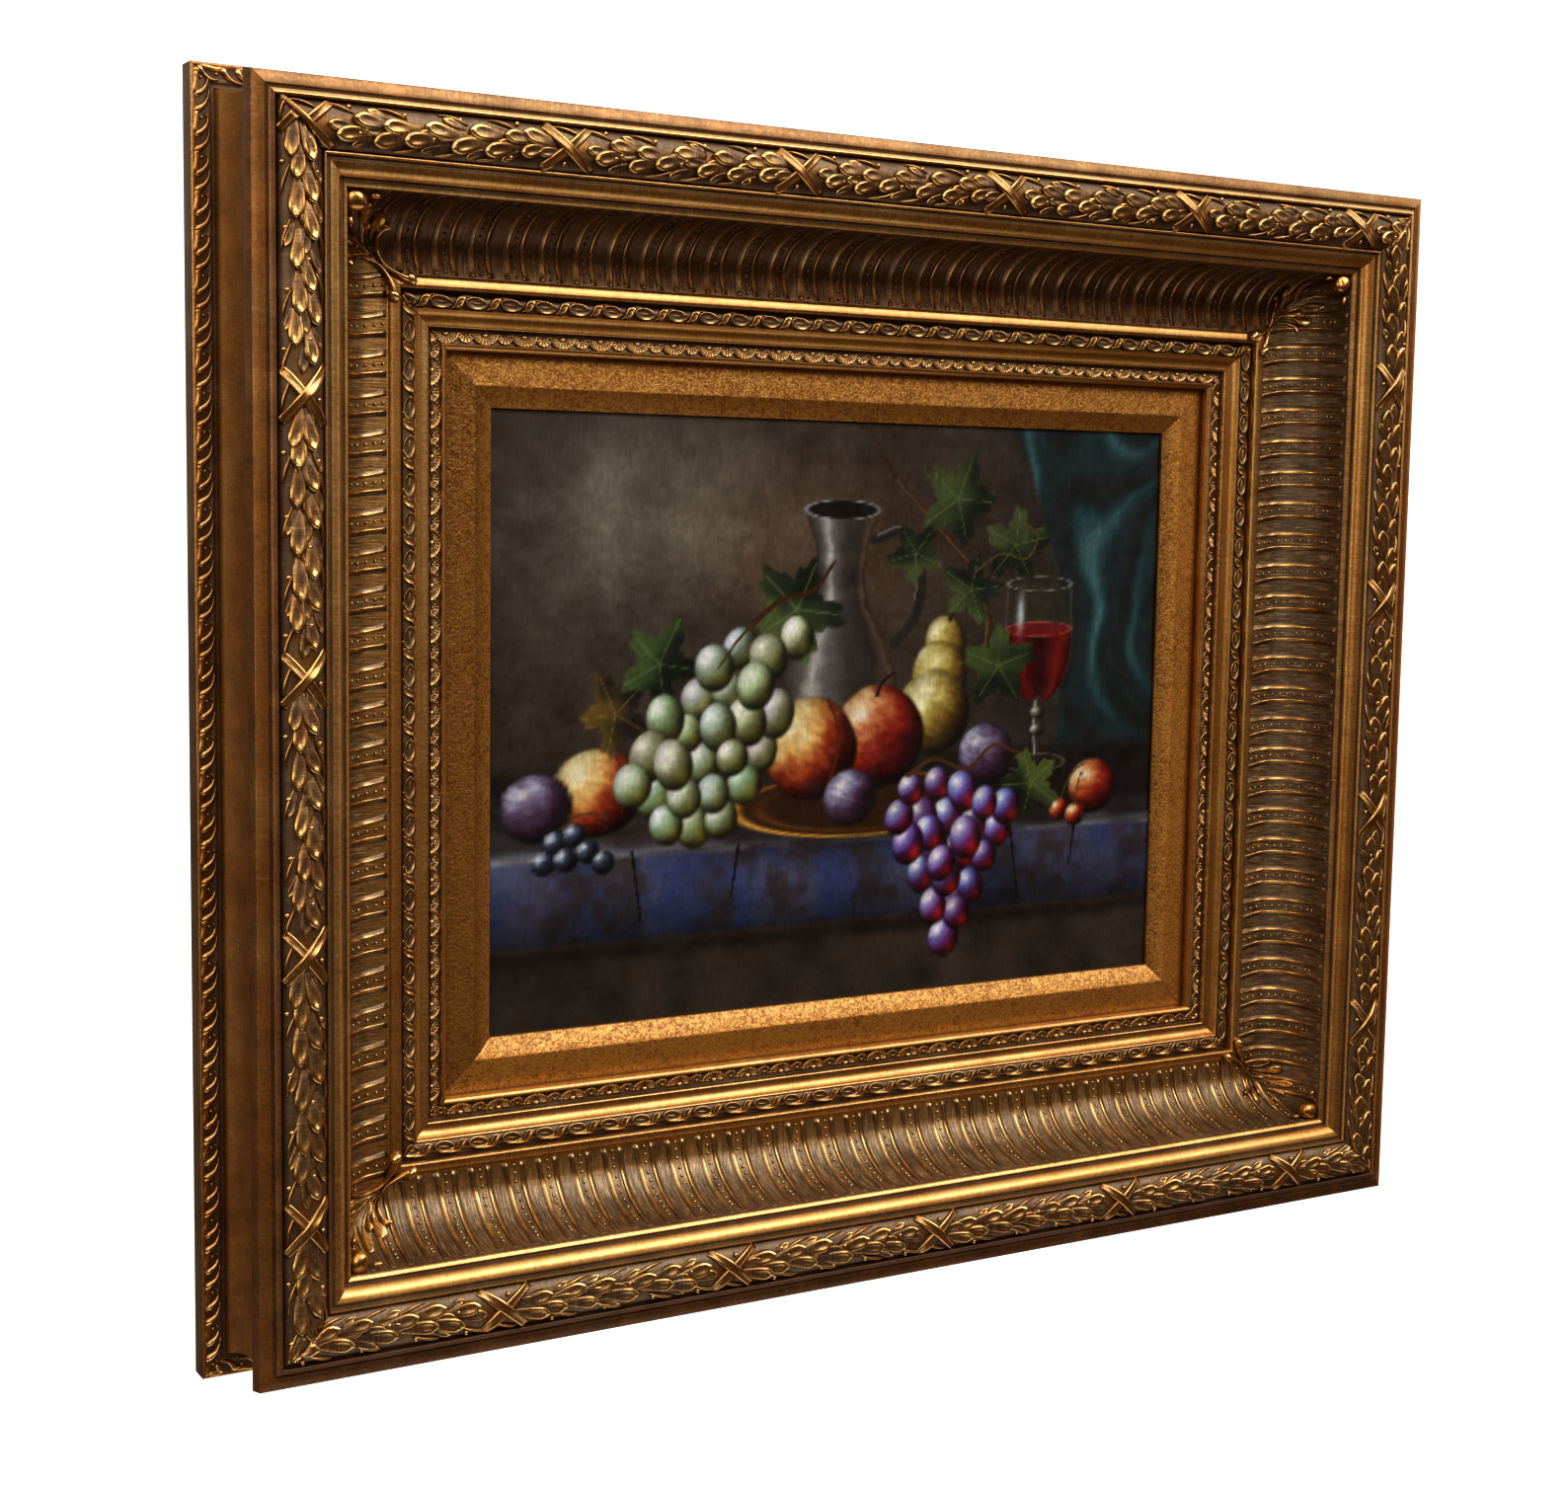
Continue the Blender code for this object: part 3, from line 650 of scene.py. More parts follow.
ropeBand = {
    "pitch": 16.9, "inset": 84.0, "turns": (5, 5, 0, 0),
    "linkLong": 10.6, "linkWide": 4.9, "linkRise": 1.5,
    "tie": [(-10.7, 1.9), (-9.9, 0.2), (-8.7, -1.5), (-6.8, -2.1), (-4.6, -2.1), (-5.6, -0.9),
            (-6.3, 0.6), (-7.3, 1.8), (-9.0, 2.2)],
    "tieRise": 1.35,
    "tail": [(-11.6, 2.5), (-10.2, 1.4), (-9.1, -0.9), (-7.2, -2.15), (-4.2, -2.45),
             (-1.5, -2.5)],
}
shellBand = {
    "pitch": 19.2, "inset": 96.9,
    # half length, reach, ribs, rise and sections round
    "large": (6.5, 4.7, 11, 1.3, 47), "small": (4.3, 4.1, 7, 0.9, 25), "smallShift": -9.6,
    "ground": [(95.5, 49.9), (98.5, 49.85), (101.9, 49.8)],
    # half length and width, rise, points round, warmth and share of gold
    "pearl": (1.75, 0.95, 1.55, 10, 0.45, 1.0), "bead": (0.75, 0.75, 1.1, 7, 0.4, 0.9),
}


def lensOutline(long, wide, around=28):
    turn = np.arange(around) / around * 2 * pi
    x = np.cos(turn) * long / 2
    outline = np.column_stack([x, signedPower(np.sin(turn), 1.25) * wide / 2])
    return outline, np.column_stack([x * 0.62, 0 * x])


def linkBodies():
    outline, spine = lensOutline(ropeBand["linkLong"], ropeBand["linkWide"])
    tall = ropeBand["linkRise"]
    levels = [(1.12, -0.5, 0.05), (1.06, 0.1, 0.1), (0.94, tall * 0.85, 0.6),
              (0.86, tall, 0.95), (0.76, tall * 0.86, 0.75), (0.62, tall * 0.38, 0.12),
              (0.3, tall * 0.3, 0.1)]
    link = stacked(outline, spine, levels, 0.4)
    share = np.linspace(0, 1, 7)
    middle = np.column_stack([(share - 0.5) * 6.2, 0 * share, 0 * share])
    line = pathBody(middle, 0.16 + 0.24 * np.sin(share * pi), 0.55 + 0.4 * np.sin(share * pi),
                    0.6, 0.4)
    around = np.array(smoothLine(ropeBand["tie"] + ropeBand["tie"][:1], 3))[:-1]
    middle = around.mean(0)
    tall = ropeBand["tieRise"]
    levels = [(1.12, -0.5, 0.05), (1.04, 0.2, 0.15), (0.93, tall * 0.92, 0.75),
              (0.8, tall, 0.95), (0.62, tall * 0.66, 0.5), (0.2, tall * 0.62, 0.45)]
    tie = stacked(around, middle + (around - middle) * 0.1, levels, 0.5)
    tail = np.array(smoothLine(ropeBand["tail"], 4))
    share = np.linspace(0, 1, len(tail))
    tail = pathBody(np.column_stack([tail, 0.3 + 0.3 * share]), 0.28 + 0.2 * share, 0.9, 0.85,
                    0.42)
    return link, line, tie, tail


def shellBody(halfLong, reach, ribs, rise, sections):
    # a half scallop, fanned out from the cove side towards the lip
    fan = pi * 1.02
    turn = np.linspace(-0.5, 0.5, sections)[:, None] * fan
    wave = np.cos(turn / fan * ribs * 2 * pi)
    radial = np.array([0.24, 0.28, 0.45, 0.7, 0.86, 0.93, 0.99, 1.04, 1.06])
    out = radial * (1 + 0.035 * wave * (radial > 0.8))
    fluted = (0.35 < radial) & (radial < 0.9)
    up = rise * (0.3 + 0.42 * radial) + 0.22 * wave * fluted
    tones = 0.12 + 0.5 * (wave > 0.2) * fluted
    for columns, tall, shine in ((5, 0.98 * rise, 0.7), (6, rise, 0.7), (7, 0.2, 0.08),
                                 ([0, 8], -0.4, 0.05)):
        up[:, columns] = tall
        tones[:, columns] = shine
    rings = np.dstack([np.sin(turn) * halfLong * out, np.cos(turn) * reach * out, up])
    return lofted(rings, tones)


def carveBands(piece, side, chance):
    rail = rails[side]
    ground = groundLine(smoothLine(moulding["ropeGround"][0], 6))
    bodies = linkBodies()
    reach = rail["length"] / 2 - ropeBand["inset"]
    for t in repeats(rail["link"], ropeBand["pitch"], -reach - 12, reach + 20):
        gain = chance.uniform(0.8, 1.1)
        for body, turn in zip(bodies, ropeBand["turns"]):
            stamp(piece, rail, ground, body, t, ropeBand["inset"], radians(turn), 1, 1, gain)
    ground = groundLine(shellBand["ground"])
    away = shellBand["smallShift"]
    fan = ((shellBody(*shellBand["large"]), 0, 0), (dome(*shellBand["pearl"]), 0, 0.6),
           (shellBody(*shellBand["small"]), away, 0), (dome(*shellBand["bead"]), away, 1.2))
    reach = rail["length"] / 2 - 98
    for t in repeats(rail["pearl"], shellBand["pitch"], -reach - 12, reach + 12):
        for body, shift, on in fan:
            stamp(piece, rail, ground, body, t + shift, shellBand["inset"] + on)


# the running scroll on the back flange

# Ridges as (along, inset) from the eye they curl round; the third edges the margin.
scrollBand = {
    "pitch": 16.4, "inset": -9.6, "eyeInset": -5.1, "eye": (0.75, 0.75, 1.0, 8, 0.5, 0.85),
    "ground": [(-9.6, 51.25), (-5.0, 51.25), (-0.9, 51.25)],
    "ridges": [
        [(-7.8, -7.9), (-6.7, -6.5), (-5.6, -4.9), (-4.1, -3.6), (-2.5, -2.8), (-0.9, -2.5),
         (0.5, -2.8), (1.5, -3.8)],
        [(2.4, -7.9), (3.3, -6.4), (4.4, -4.9), (5.9, -3.5), (8.1, -2.5), (10.4, -2.0),
         (12.2, -1.9)],
        [(-7.6, -7.6), (-4.4, -7.7), (-1.2, -7.2), (1.2, -7.2), (2.6, -7.7)],
    ],
    "wide": [(1.5, 0.5), (1.75, 0.55), (1.15, 1.15)], "rise": [1.35, 1.4, 1.0],
}


def scrollBodies():
    made = []
    for number, spots in enumerate(scrollBand["ridges"]):
        line = np.array(smoothLine(spots, 3))
        share = np.linspace(0, 1, len(line))
        path = np.column_stack([line[:, 0], line[:, 1] - scrollBand["inset"], 0 * share])
        # broad and gold where it leaves the margin, thin and brown where it curls over
        thick, thin = scrollBand["wide"][number]
        wide = thick + (thin - thick) * easeIn(share, 0.05, 0.75)
        ends = np.clip(np.minimum(share, 1 - share) / 0.12, 0, 1)
        shine = 0.85 if number == 2 else 1.0 - 0.6 * easeIn(share, 0.3, 0.95)
        made.append(pathBody(path, wide * (0.45 + 0.55 * ends),
                             scrollBand["rise"][number] * (0.4 + 0.6 * ends), shine, 0.55))
    return made


def carveScrolls(piece, side, chance):
    rail = rails[side]
    ground = groundLine(scrollBand["ground"])
    bodies = scrollBodies()
    eye = dome(*scrollBand["eye"])
    reach = rail["length"] / 2 + 6
    for t in repeats(rail["eye"], scrollBand["pitch"], -reach - 16, reach + 16):
        gain = chance.uniform(0.85, 1.1)
        for body in bodies:
            stamp(piece, rail, ground, body, t, scrollBand["inset"], 0, 1, 1, gain)
        stamp(piece, rail, ground, eye, t, scrollBand["eyeInset"])


# the cast leaf in each corner of the cove

# Paths in plan, from the outer corner: (distance down the mitre, distance off it).
cornerLeaf = {
    "ballPlace": (112.4, 5.6), "ballWide": 5.4, "ballRise": 4.2,
    "stem": [(112.4, 5.2), (109.6, 3.4), (106.0, 1.9), (101.5, 1.0), (97.6, 1.3),
             (93.6, 2.7), (90.0, 4.9), (87.8, 7.8), (87.0, 10.4), (88.2, 12.6)],
    "stemWide": [1.9, 1.55, 1.25, 1.0, 0.8, 0.65, 0.6, 0.7, 1.15, 1.25],
    "stemRise": [3.0, 3.0, 2.6, 2.2, 1.9, 1.6, 1.5, 1.6, 2.3, 2.5],
    # lobes: path, half width, rise, how hollow
    "fingers": [
        ([(99.0, 0.9), (93.5, 1.8), (88.6, 3.3), (85.0, 5.6), (82.9, 8.8), (81.6, 12.6)],
         2.2, 3.2, 0.0),
        ([(93.0, 0.9), (87.5, 2.1), (83.0, 4.0), (79.6, 6.6)], 1.2, 2.2, 0.0),
        ([(93.5, 0.5), (87.0, 1.4), (81.9, 2.8), (78.0, 4.6), (75.2, 6.6), (73.2, 8.8)],
         1.75, 2.1, 1.0),
        ([(88.0, 0.3), (80.5, 0.9), (74.5, 1.7), (70.2, 2.8)], 0.75, 1.3, 0.0),
    ],
    # knobs in the outer angle: inset, depth, distance from the mitre, radii
    "knobs": [((47.4, 10.4), 0.0, (5.2, 4.7, 4.6)), ((45.2, 9.8), 11.2, (2.3, 1.1, 1.5))],
    "knobTone": (0.7, 0.42, 0.2), "knobSquare": 0.8,
    "shadeUnderTop": 0.6,      # lobes under the top rail painted darker, as painted shade
    "foot": [(70.5, 40.6), (72.8, 40.0), (74.6, 39.3), (76.6, 39.0), (79.0, 39.9)],
}


def fromPlan(ground, plan):
    # plan places (down the mitre, off it) as (off the mitre along the rail, run)
    down = plan[:, 0]
    off = plan[:, 1]
    inset = (down - np.abs(off)) / sqrt(2)
    return np.column_stack([off * sqrt(2), runAt(ground, inset)])


def stampCorner(piece, corner, ground, body):
    # body points: off the mitre (+ on the first rail), run, rise
    off, run, rise = body["points"].T
    a, d = onGround(ground, run, rise)
    placed = []
    for name, end in cornerPairs[corner]:
        rail = rails[name]
        placed.append(toFrame(rail, a, d, end * (rail["length"] / 2 - a - np.abs(off))))
    points = np.where((off >= 0)[:, None], *placed)
    addFaces(piece, points, body["tone"], body["points"], (body["quads"], body["caps"]))


def laidOut(ground, body, place=(0, 0)):
    # a body modelled in plan, moved to where it lies in the cove
    body["points"][:, :2] = fromPlan(ground, body["points"][:, :2] + place)
    return flipped(body)


def fingerBody(ground, line, halfWide, rise, hollow):
    # a lobe on a thin stalk: a full drop, or a long loop with a raised edge
    plan = np.array(smoothLine(line, 6))
    share = np.linspace(0, 1, len(plan))[:, None]
    swell = easeIn(share, 0.5, 0.86)
    end = np.sqrt(np.clip(1 - np.clip((share - 0.84) / 0.16, 0, 1) ** 2, 0.01, 1))
    wide = halfWide * (0.2 + 0.8 * swell) * end
    tall = rise * (0.3 + 0.7 * swell) * (0.35 + 0.65 * end)
    cross = bothWays([0.34, 0.64, 0.86, 1.0, 1.12])
    away = np.abs(cross)
    cup = hollow * easeIn(share, 0.3, 0.55) * (1 - easeIn(share, 0.86, 0.94))
    rim = hump(away, 0.75, 0.2)
    full = np.sqrt(np.maximum(0.0, 1 - 0.92 * cross ** 2))
    up = 0.15 + tall * (cup * (0.25 + 0.75 * rim) + (1 - cup) * full)
    up = np.where(away > 0.95, np.where(away < 1.1, 0.1 * tall, -0.3), up)
    tones = 0.3 + (0.5 - 0.3 * cup) * swell + 0.65 * rim * cup + 0.25 * full
    tones = np.where(away > 0.95, 0.15, tones)
    spots = offPath(plan, wide * cross)
    spots = fromPlan(ground, spots.reshape(-1, 2)).reshape(spots.shape)
    return lofted(np.dstack([spots, up]), np.clip(tones, 0, 1))


def stemBody(ground):
    # a round stem from the ball, past the mitre, out to a knob on its own side
    last = len(cornerLeaf["stem"]) - 1
    plan = np.array(smoothLine(cornerLeaf["stem"], 5))
    share = np.linspace(0, last, len(plan))
    wide, tall = (np.interp(share, np.arange(last + 1), cornerLeaf[name])
                  for name in ("stemWide", "stemRise"))
    wide = wide * np.sqrt(np.clip((last - share) / 0.45, 0.03, 1))
    path = np.column_stack([plan, 0.25 + 0 * share])
    return laidOut(ground, pathBody(path, wide, tall, 0.85, 0.5))


def addKnob(piece, corner, side, place, off, radii):
    # a smooth ball set in the angle between the two rails
    name, end = cornerPairs[corner][side]
    rail = rails[name]
    around, levels = 18, 10
    square = cornerLeaf["knobSquare"]
    turn = np.arange(around) / around * 2 * pi
    height = np.linspace(-0.48, 0.48, levels)[:, None] * pi
    flat = np.cos(height) ** square
    x = flat * signedPower(np.cos(turn), square)
    z = flat * signedPower(np.sin(turn), square)
    y = signedPower(np.sin(height), square) + 0.16 * x * z + 0.06 * np.sin(3 * x + 2 * z)
    x, z, y = x * radii[0], z * radii[1], y * radii[2]
    along = end * (rail["length"] / 2 - place[0] - off + x)
    rings = toFrame(rail, place[0] + z, place[1] + y, along)
    body = flipped(lofted(rings, *cornerLeaf["knobTone"]))
    stick = np.column_stack([x.ravel(), z.ravel(), y.ravel()])
    addFaces(piece, body["points"], body["tone"], stick, (body["quads"], body["caps"]))


def buildCornerLeaf(corner, materials):
    ground = groundLine(covePoints(60)[:-2] + cornerLeaf["foot"])
    piece = newPiece()
    half = cornerLeaf["ballWide"] / 2
    ball = dome(half, half, cornerLeaf["ballRise"], 16, 0.5, 1.0)
    bodies = [stemBody(ground), laidOut(ground, ball, cornerLeaf["ballPlace"])]
    bodies += [fingerBody(ground, *finger) for finger in cornerLeaf["fingers"]]
    for place, off, radii in cornerLeaf["knobs"]:
        for side in range(2 if off else 1):
            addKnob(piece, corner, side, place, off, radii)
    for k, body in enumerate(bodies):
        mirrored = flipped(body, points=body["points"] * np.array([-1, 1, 1]))
        for joint, made in zip(cornerPairs[corner], (body, mirrored)):
            # painted shade: the lobes on the top rail get less gold
            if joint[0] == "top" and k > 1:
                dimmed = made["tone"] * np.array([cornerLeaf["shadeUnderTop"], 1.0, 1.0])
                made = {**made, "tone": dimmed}
            stampCorner(piece, corner, ground, made)
    finishPiece("corner_leaf_" + corner, piece, materials,
                ["corner_leaf_" + corner])


# the sanded liner

liner = {
    "section": [(97.3, 54.5, 0.0), (105.4, 54.5, 0.4), (119.9, 52.4, 0.5), (129.4, 56.3, 0.9),
                (129.4, 58.0, 0.3), (123.45, 58.0, 0.0), (123.45, 62.2, 0.0),
                (97.3, 62.2, 0.0)],
    "arris": 0.6, "stations": 24,
    # how bright the flat and the bevel are painted on each side, as painted light and shade
    "sideLight": {"top": (0.88, 0.95), "bottom": (1.12, 0.95), "left": (0.62, 1.02),
             "right": (1.1, 0.62)},
}


def buildLiner(side, materials):
    # painted light and shade: this side's flat and bevel made lighter or darker
    flat, bevel = liner["sideLight"][side]
    rows = np.array([(a, d, tone, bevel if tone == 0.9 else flat, 1.0, 0.0)
                     for a, d, tone in liner["section"]])
    rows = softened(rows, liner["arris"])
    low = rows[:, 1] > 57.9
    bare = low & np.roll(low, -1) | (rows[:, 0] < 97.5)
    sweepRail("liner_rail_", side, rows, liner["stations"], rows[:, 0], bare, materials,
              50)


# the picture: a still life of fruit on a stone ledge, laid in with a brush

picture = {
    "panel": (406.4, 304.8, 3.2), "frontDepth": 58.3,
    "fineHalf": (150.0, 118.0), "fineStep": 1.05, "coarseStep": 2.4,
    "light": (-0.52, 0.56, 0.64),
    "strokeRise": 0.07,
    "groupSize": 1.17, "groupAt": (4, -42),
    "ledge": {"back": -22.0, "edge": -64.0, "foot": -106.0},
    "boardBack": (0.2, 0.13, 0.08),
}
# where each grape of a bunch hangs
bunches = {
    "paleGrapes": [(-44, 16), (-58, 20), (-70, 12), (-50, 4), (-63, 2), (-77, -1), (-40, -8),
                   (-54, -11), (-68, -13), (-83, -15), (-93, -9), (-47, -24), (-61, -26),
                   (-75, -28), (-89, -28), (-100, -24), (-55, -38), (-70, -41), (-84, -42),
                   (-97, -40), (-108, -36), (-66, -52), (-80, -54), (-92, -53), (-30, 24)],
    "darkGrapes": [(30, -44), (44, -42), (58, -46), (70, -52), (36, -57), (50, -57), (64, -61),
                   (77, -64), (29, -68), (43, -70), (57, -73), (70, -76), (36, -82),
                   (50, -85), (63, -89), (43, -97), (56, -101), (49, -112), (24, -56),
                   (82, -54), (40, -64), (60, -67), (47, -78), (54, -94)],
    "currants": [(-143, -58), (-134, -55), (-138, -65), (-128, -62), (-148, -66),
                 (-121, -67)],
}
# Rows of (place, red, green, blue). On fruit the place is how lit it is, on pewter and wine
# it runs from side to side, on the cloth it is the height of a fold, on the ledge the nearness.
skins = {
    "peach": [(-0.35, 0.13, 0.06, 0.05), (0.1, 0.34, 0.10, 0.06), (0.42, 0.62, 0.27, 0.14),
              (0.72, 0.84, 0.66, 0.38), (1.0, 0.95, 0.90, 0.70)],
    "apple": [(-0.35, 0.12, 0.05, 0.04), (0.12, 0.32, 0.07, 0.06), (0.5, 0.57, 0.18, 0.12),
              (0.8, 0.78, 0.50, 0.30), (1.0, 0.93, 0.80, 0.62)],
    "pear": [(-0.35, 0.17, 0.13, 0.07), (0.12, 0.36, 0.27, 0.12), (0.5, 0.60, 0.51, 0.24),
             (0.8, 0.80, 0.75, 0.46), (1.0, 0.95, 0.92, 0.74)],
    "plum": [(-0.35, 0.12, 0.09, 0.11), (0.12, 0.20, 0.13, 0.18), (0.5, 0.33, 0.24, 0.33),
             (0.8, 0.50, 0.46, 0.57), (1.0, 0.76, 0.76, 0.84)],
    "pale": [(-0.3, 0.12, 0.11, 0.07), (0.1, 0.28, 0.28, 0.18), (0.45, 0.50, 0.53, 0.38),
             (0.78, 0.75, 0.80, 0.70), (1.0, 0.97, 0.99, 0.96)],
    "dark": [(-0.3, 0.09, 0.04, 0.06), (0.1, 0.23, 0.07, 0.12), (0.45, 0.34, 0.18, 0.38),
             (0.78, 0.50, 0.48, 0.72), (1.0, 0.88, 0.88, 0.97)],
    "black": [(-0.3, 0.08, 0.08, 0.09), (0.3, 0.12, 0.13, 0.16), (0.8, 0.30, 0.34, 0.42),
              (1.0, 0.66, 0.70, 0.78)],
    "knop": [(-0.2, 0.12, 0.11, 0.09), (0.5, 0.30, 0.29, 0.24), (0.95, 0.70, 0.70, 0.66)],
    "pewter": [(-1.0, 0.27, 0.25, 0.23), (-0.72, 0.46, 0.44, 0.42), (-0.48, 0.78, 0.77, 0.75),
               (-0.28, 0.50, 0.48, 0.46), (0.1, 0.32, 0.29, 0.265), (0.62, 0.25, 0.215, 0.19),
               (0.84, 0.42, 0.34, 0.27), (1.0, 0.25, 0.21, 0.18)],
    "wine": [(-1, 0.22, 0.03, 0.03), (-0.5, 0.42, 0.07, 0.06), (0.1, 0.20, 0.03, 0.03),
             (0.65, 0.50, 0.12, 0.08), (1, 0.16, 0.02, 0.02)],
    "teal": [(0.0, 0.15, 0.165, 0.165), (0.35, 0.15, 0.215, 0.225), (0.75, 0.20, 0.32, 0.33),
             (1.0, 0.32, 0.46, 0.47)],
    "ledge": [(0.0, 0.205, 0.175, 0.145), (0.6, 0.29, 0.26, 0.24), (0.85, 0.42, 0.40, 0.41),
              (1.0, 0.66, 0.67, 0.72)],
}
# Laid in one over another. A fruit: skin, centre, radii, turn, softness, wetness, seed.
# A line: points, width, colour, body, taper. A leaf: centre, size, turn, light and dark
# side, seed. A bunch: its grapes, size, skin, glow, seed.
strokes = [
    ("pear", (47, 20), (11, 13), 0.25, 1.2, 0.0, 61),
    ("pear", (44, 6), (15, 16), 0.25, 1.2, 0.0, 61),
    ("pear", (41, -10), (20, 19), 0.25, 1.2, 0.0, 61),
    ("line", [(49, 31), (52, 38), (58, 42)], 2.2, (0.22, 0.14, 0.07), 0.6),
    ("pear", (41, -10), (19, 18), 0.25, 2.5, 0.35, 61),
    ("plum", (70, -30), (15.5, 14.5), -0.2, 1.2, 0.5, 62),
    ("apple", (12, -20), (24, 23), 0.1, 1.2, 0.7, 63),
    ("line", [(11, -2), (14, 4), (20, 8)], 1.8, (0.17, 0.10, 0.06), 0.6),
    ("peach", (-22, -24), (23.5, 22.5), -0.1, 1.2, 0.35, 64),
    ("line", [(-14, -3), (-9, -14), (-9, -28), (-14, -42)], 1.7, (0.42, 0.16, 0.08), 0.2),
    ("plum", (-2, -46), (14, 12.5), 0.2, 1.2, 0.6, 65),
    ("peach", (-124, -38), (21, 18.5), 0.1, 1.2, 0.4, 66),
    ("line", [(-117, -21), (-112, -32), (-113, -46)], 1.5, (0.45, 0.16, 0.08), 0.2),
    ("plum", (-151, -43), (16, 14.5), 0.1, 1.2, 0.5, 67),
    ("apple", (131, -47), (14, 13), 0.0, 1.2, 0.6, 68),
    ("apple", (112, -57), (5.6, 5.4), 0.0, 0.8, 0.8, 69),
    ("apple", (121, -60), (5.6, 5.4), 0.0, 0.8, 0.8, 69),
    ("line", [(113, -52), (118, -42), (126, -36)], 1.0, (0.33, 0.30, 0.13), 0.7),
    ("line", [(121, -55), (123, -45), (126, -36)], 1.0, (0.33, 0.30, 0.13), 0.7),
    ("line", [(66, 4), (70, 30), (62, 52), (44, 70), (20, 92), (6, 112)], 4.0,
     (0.27, 0.19, 0.12), 0.6, 0.5),
    ("line", [(65, 4), (69, 30), (61, 52), (43, 70), (20, 91)], 1.3, (0.46, 0.35, 0.22), 0.8,
     0.5),
    ("leaf", (52, 84), 24, 1.2, (0.33, 0.37, 0.22), (0.13, 0.16, 0.11), 76),
    ("leaf", (84, 64), 21, 0.2, (0.33, 0.37, 0.22), (0.13, 0.16, 0.11), 77),
    ("leaf", (30, 60), 17, 3.4, (0.33, 0.37, 0.22), (0.13, 0.16, 0.11), 78),
    ("leaf", (60, 44), 19, 2.6, (0.33, 0.37, 0.22), (0.13, 0.16, 0.11), 79),
    ("line", [(62, 52), (76, 60), (90, 58), (96, 68), (88, 74)], 1.1, (0.38, 0.34, 0.19), 0.6,
     0.3),
    ("leaf", (-30, 36), 27, 2.4, (0.36, 0.41, 0.24), (0.13, 0.16, 0.11), 71),
    ("leaf", (76, 10), 23, 0.3, (0.31, 0.37, 0.20), (0.12, 0.15, 0.11), 72),
    ("leaf", (96, -44), 19, -0.6, (0.36, 0.40, 0.21), (0.13, 0.15, 0.11), 73),
    ("leaf", (-116, -6), 20, 2.0, (0.44, 0.36, 0.18), (0.16, 0.14, 0.10), 74),
    ("leaf", (-96, 14), 22, 1.1, (0.32, 0.39, 0.22), (0.11, 0.14, 0.11), 75),
    ("bunch", "paleGrapes", 8.8, "pale", (0.16, 0.15, 0.01), 81),
    ("line", [(-52, 30), (-38, 40), (-22, 44), (-12, 56)], 2.6, (0.30, 0.19, 0.09), 0.7),
    ("line", [(-52, 30), (-60, 22), (-68, 12)], 1.5, (0.34, 0.27, 0.12), 0.6),
    ("bunch", "darkGrapes", 7.9, "dark", (0.40, 0.07, 0.03), 82),
    ("line", [(28, -38), (42, -31), (60, -36), (74, -26), (88, -30)], 1.9,
     (0.36, 0.24, 0.11), 0.7),
    *(("black", spot, (5.4, 5.2), 0.0, 0.8, 0.8, 83) for spot in bunches["currants"]),
    ("line", [(-140, -52), (-131, -46), (-120, -48)], 0.9, (0.30, 0.30, 0.15), 0.7),
]


def softNoise(x, z, size, seed):
    grid = np.random.default_rng(seed).uniform(-1, 1, (128, 128))
    u, v = x / size + 57.3, z / size + 41.7
    i, j = np.floor(u).astype(int), np.floor(v).astype(int)
    fu, fv = easeIn(u - i, 0, 1), easeIn(v - j, 0, 1)
    i0, i1, j0, j1 = i % 128, (i + 1) % 128, j % 128, (j + 1) % 128
    return ((grid[i0, j0] * (1 - fu) + grid[i1, j0] * fu) * (1 - fv)
            + (grid[i0, j1] * (1 - fu) + grid[i1, j1] * fu) * fv)


def pictureLines(half, fineHalf):
    fine = np.arange(-fineHalf, fineHalf + 0.01, picture["fineStep"])
    steps = int((half - fineHalf) / picture["coarseStep"])
    outer = np.linspace(fineHalf, half, steps + 1)[1:]
    return np.concatenate([-outer[::-1], fine, outer])


def lay(board, mask, colour, body=0.0):
    board["rgb"] += (np.asarray(colour) - board["rgb"]) * mask[..., None]
    board["body"] += (body - board["body"]) * mask * 0.6


def ramp(value, stops):
    places, *colour = np.array(stops, float).T
    return np.stack([np.interp(value, places, part) for part in colour], -1)


def turned(board, centre, turn):
    x, z = board["x"] - centre[0], board["z"] - centre[1]
    return x * cos(turn) + z * sin(turn), z * cos(turn) - x * sin(turn)


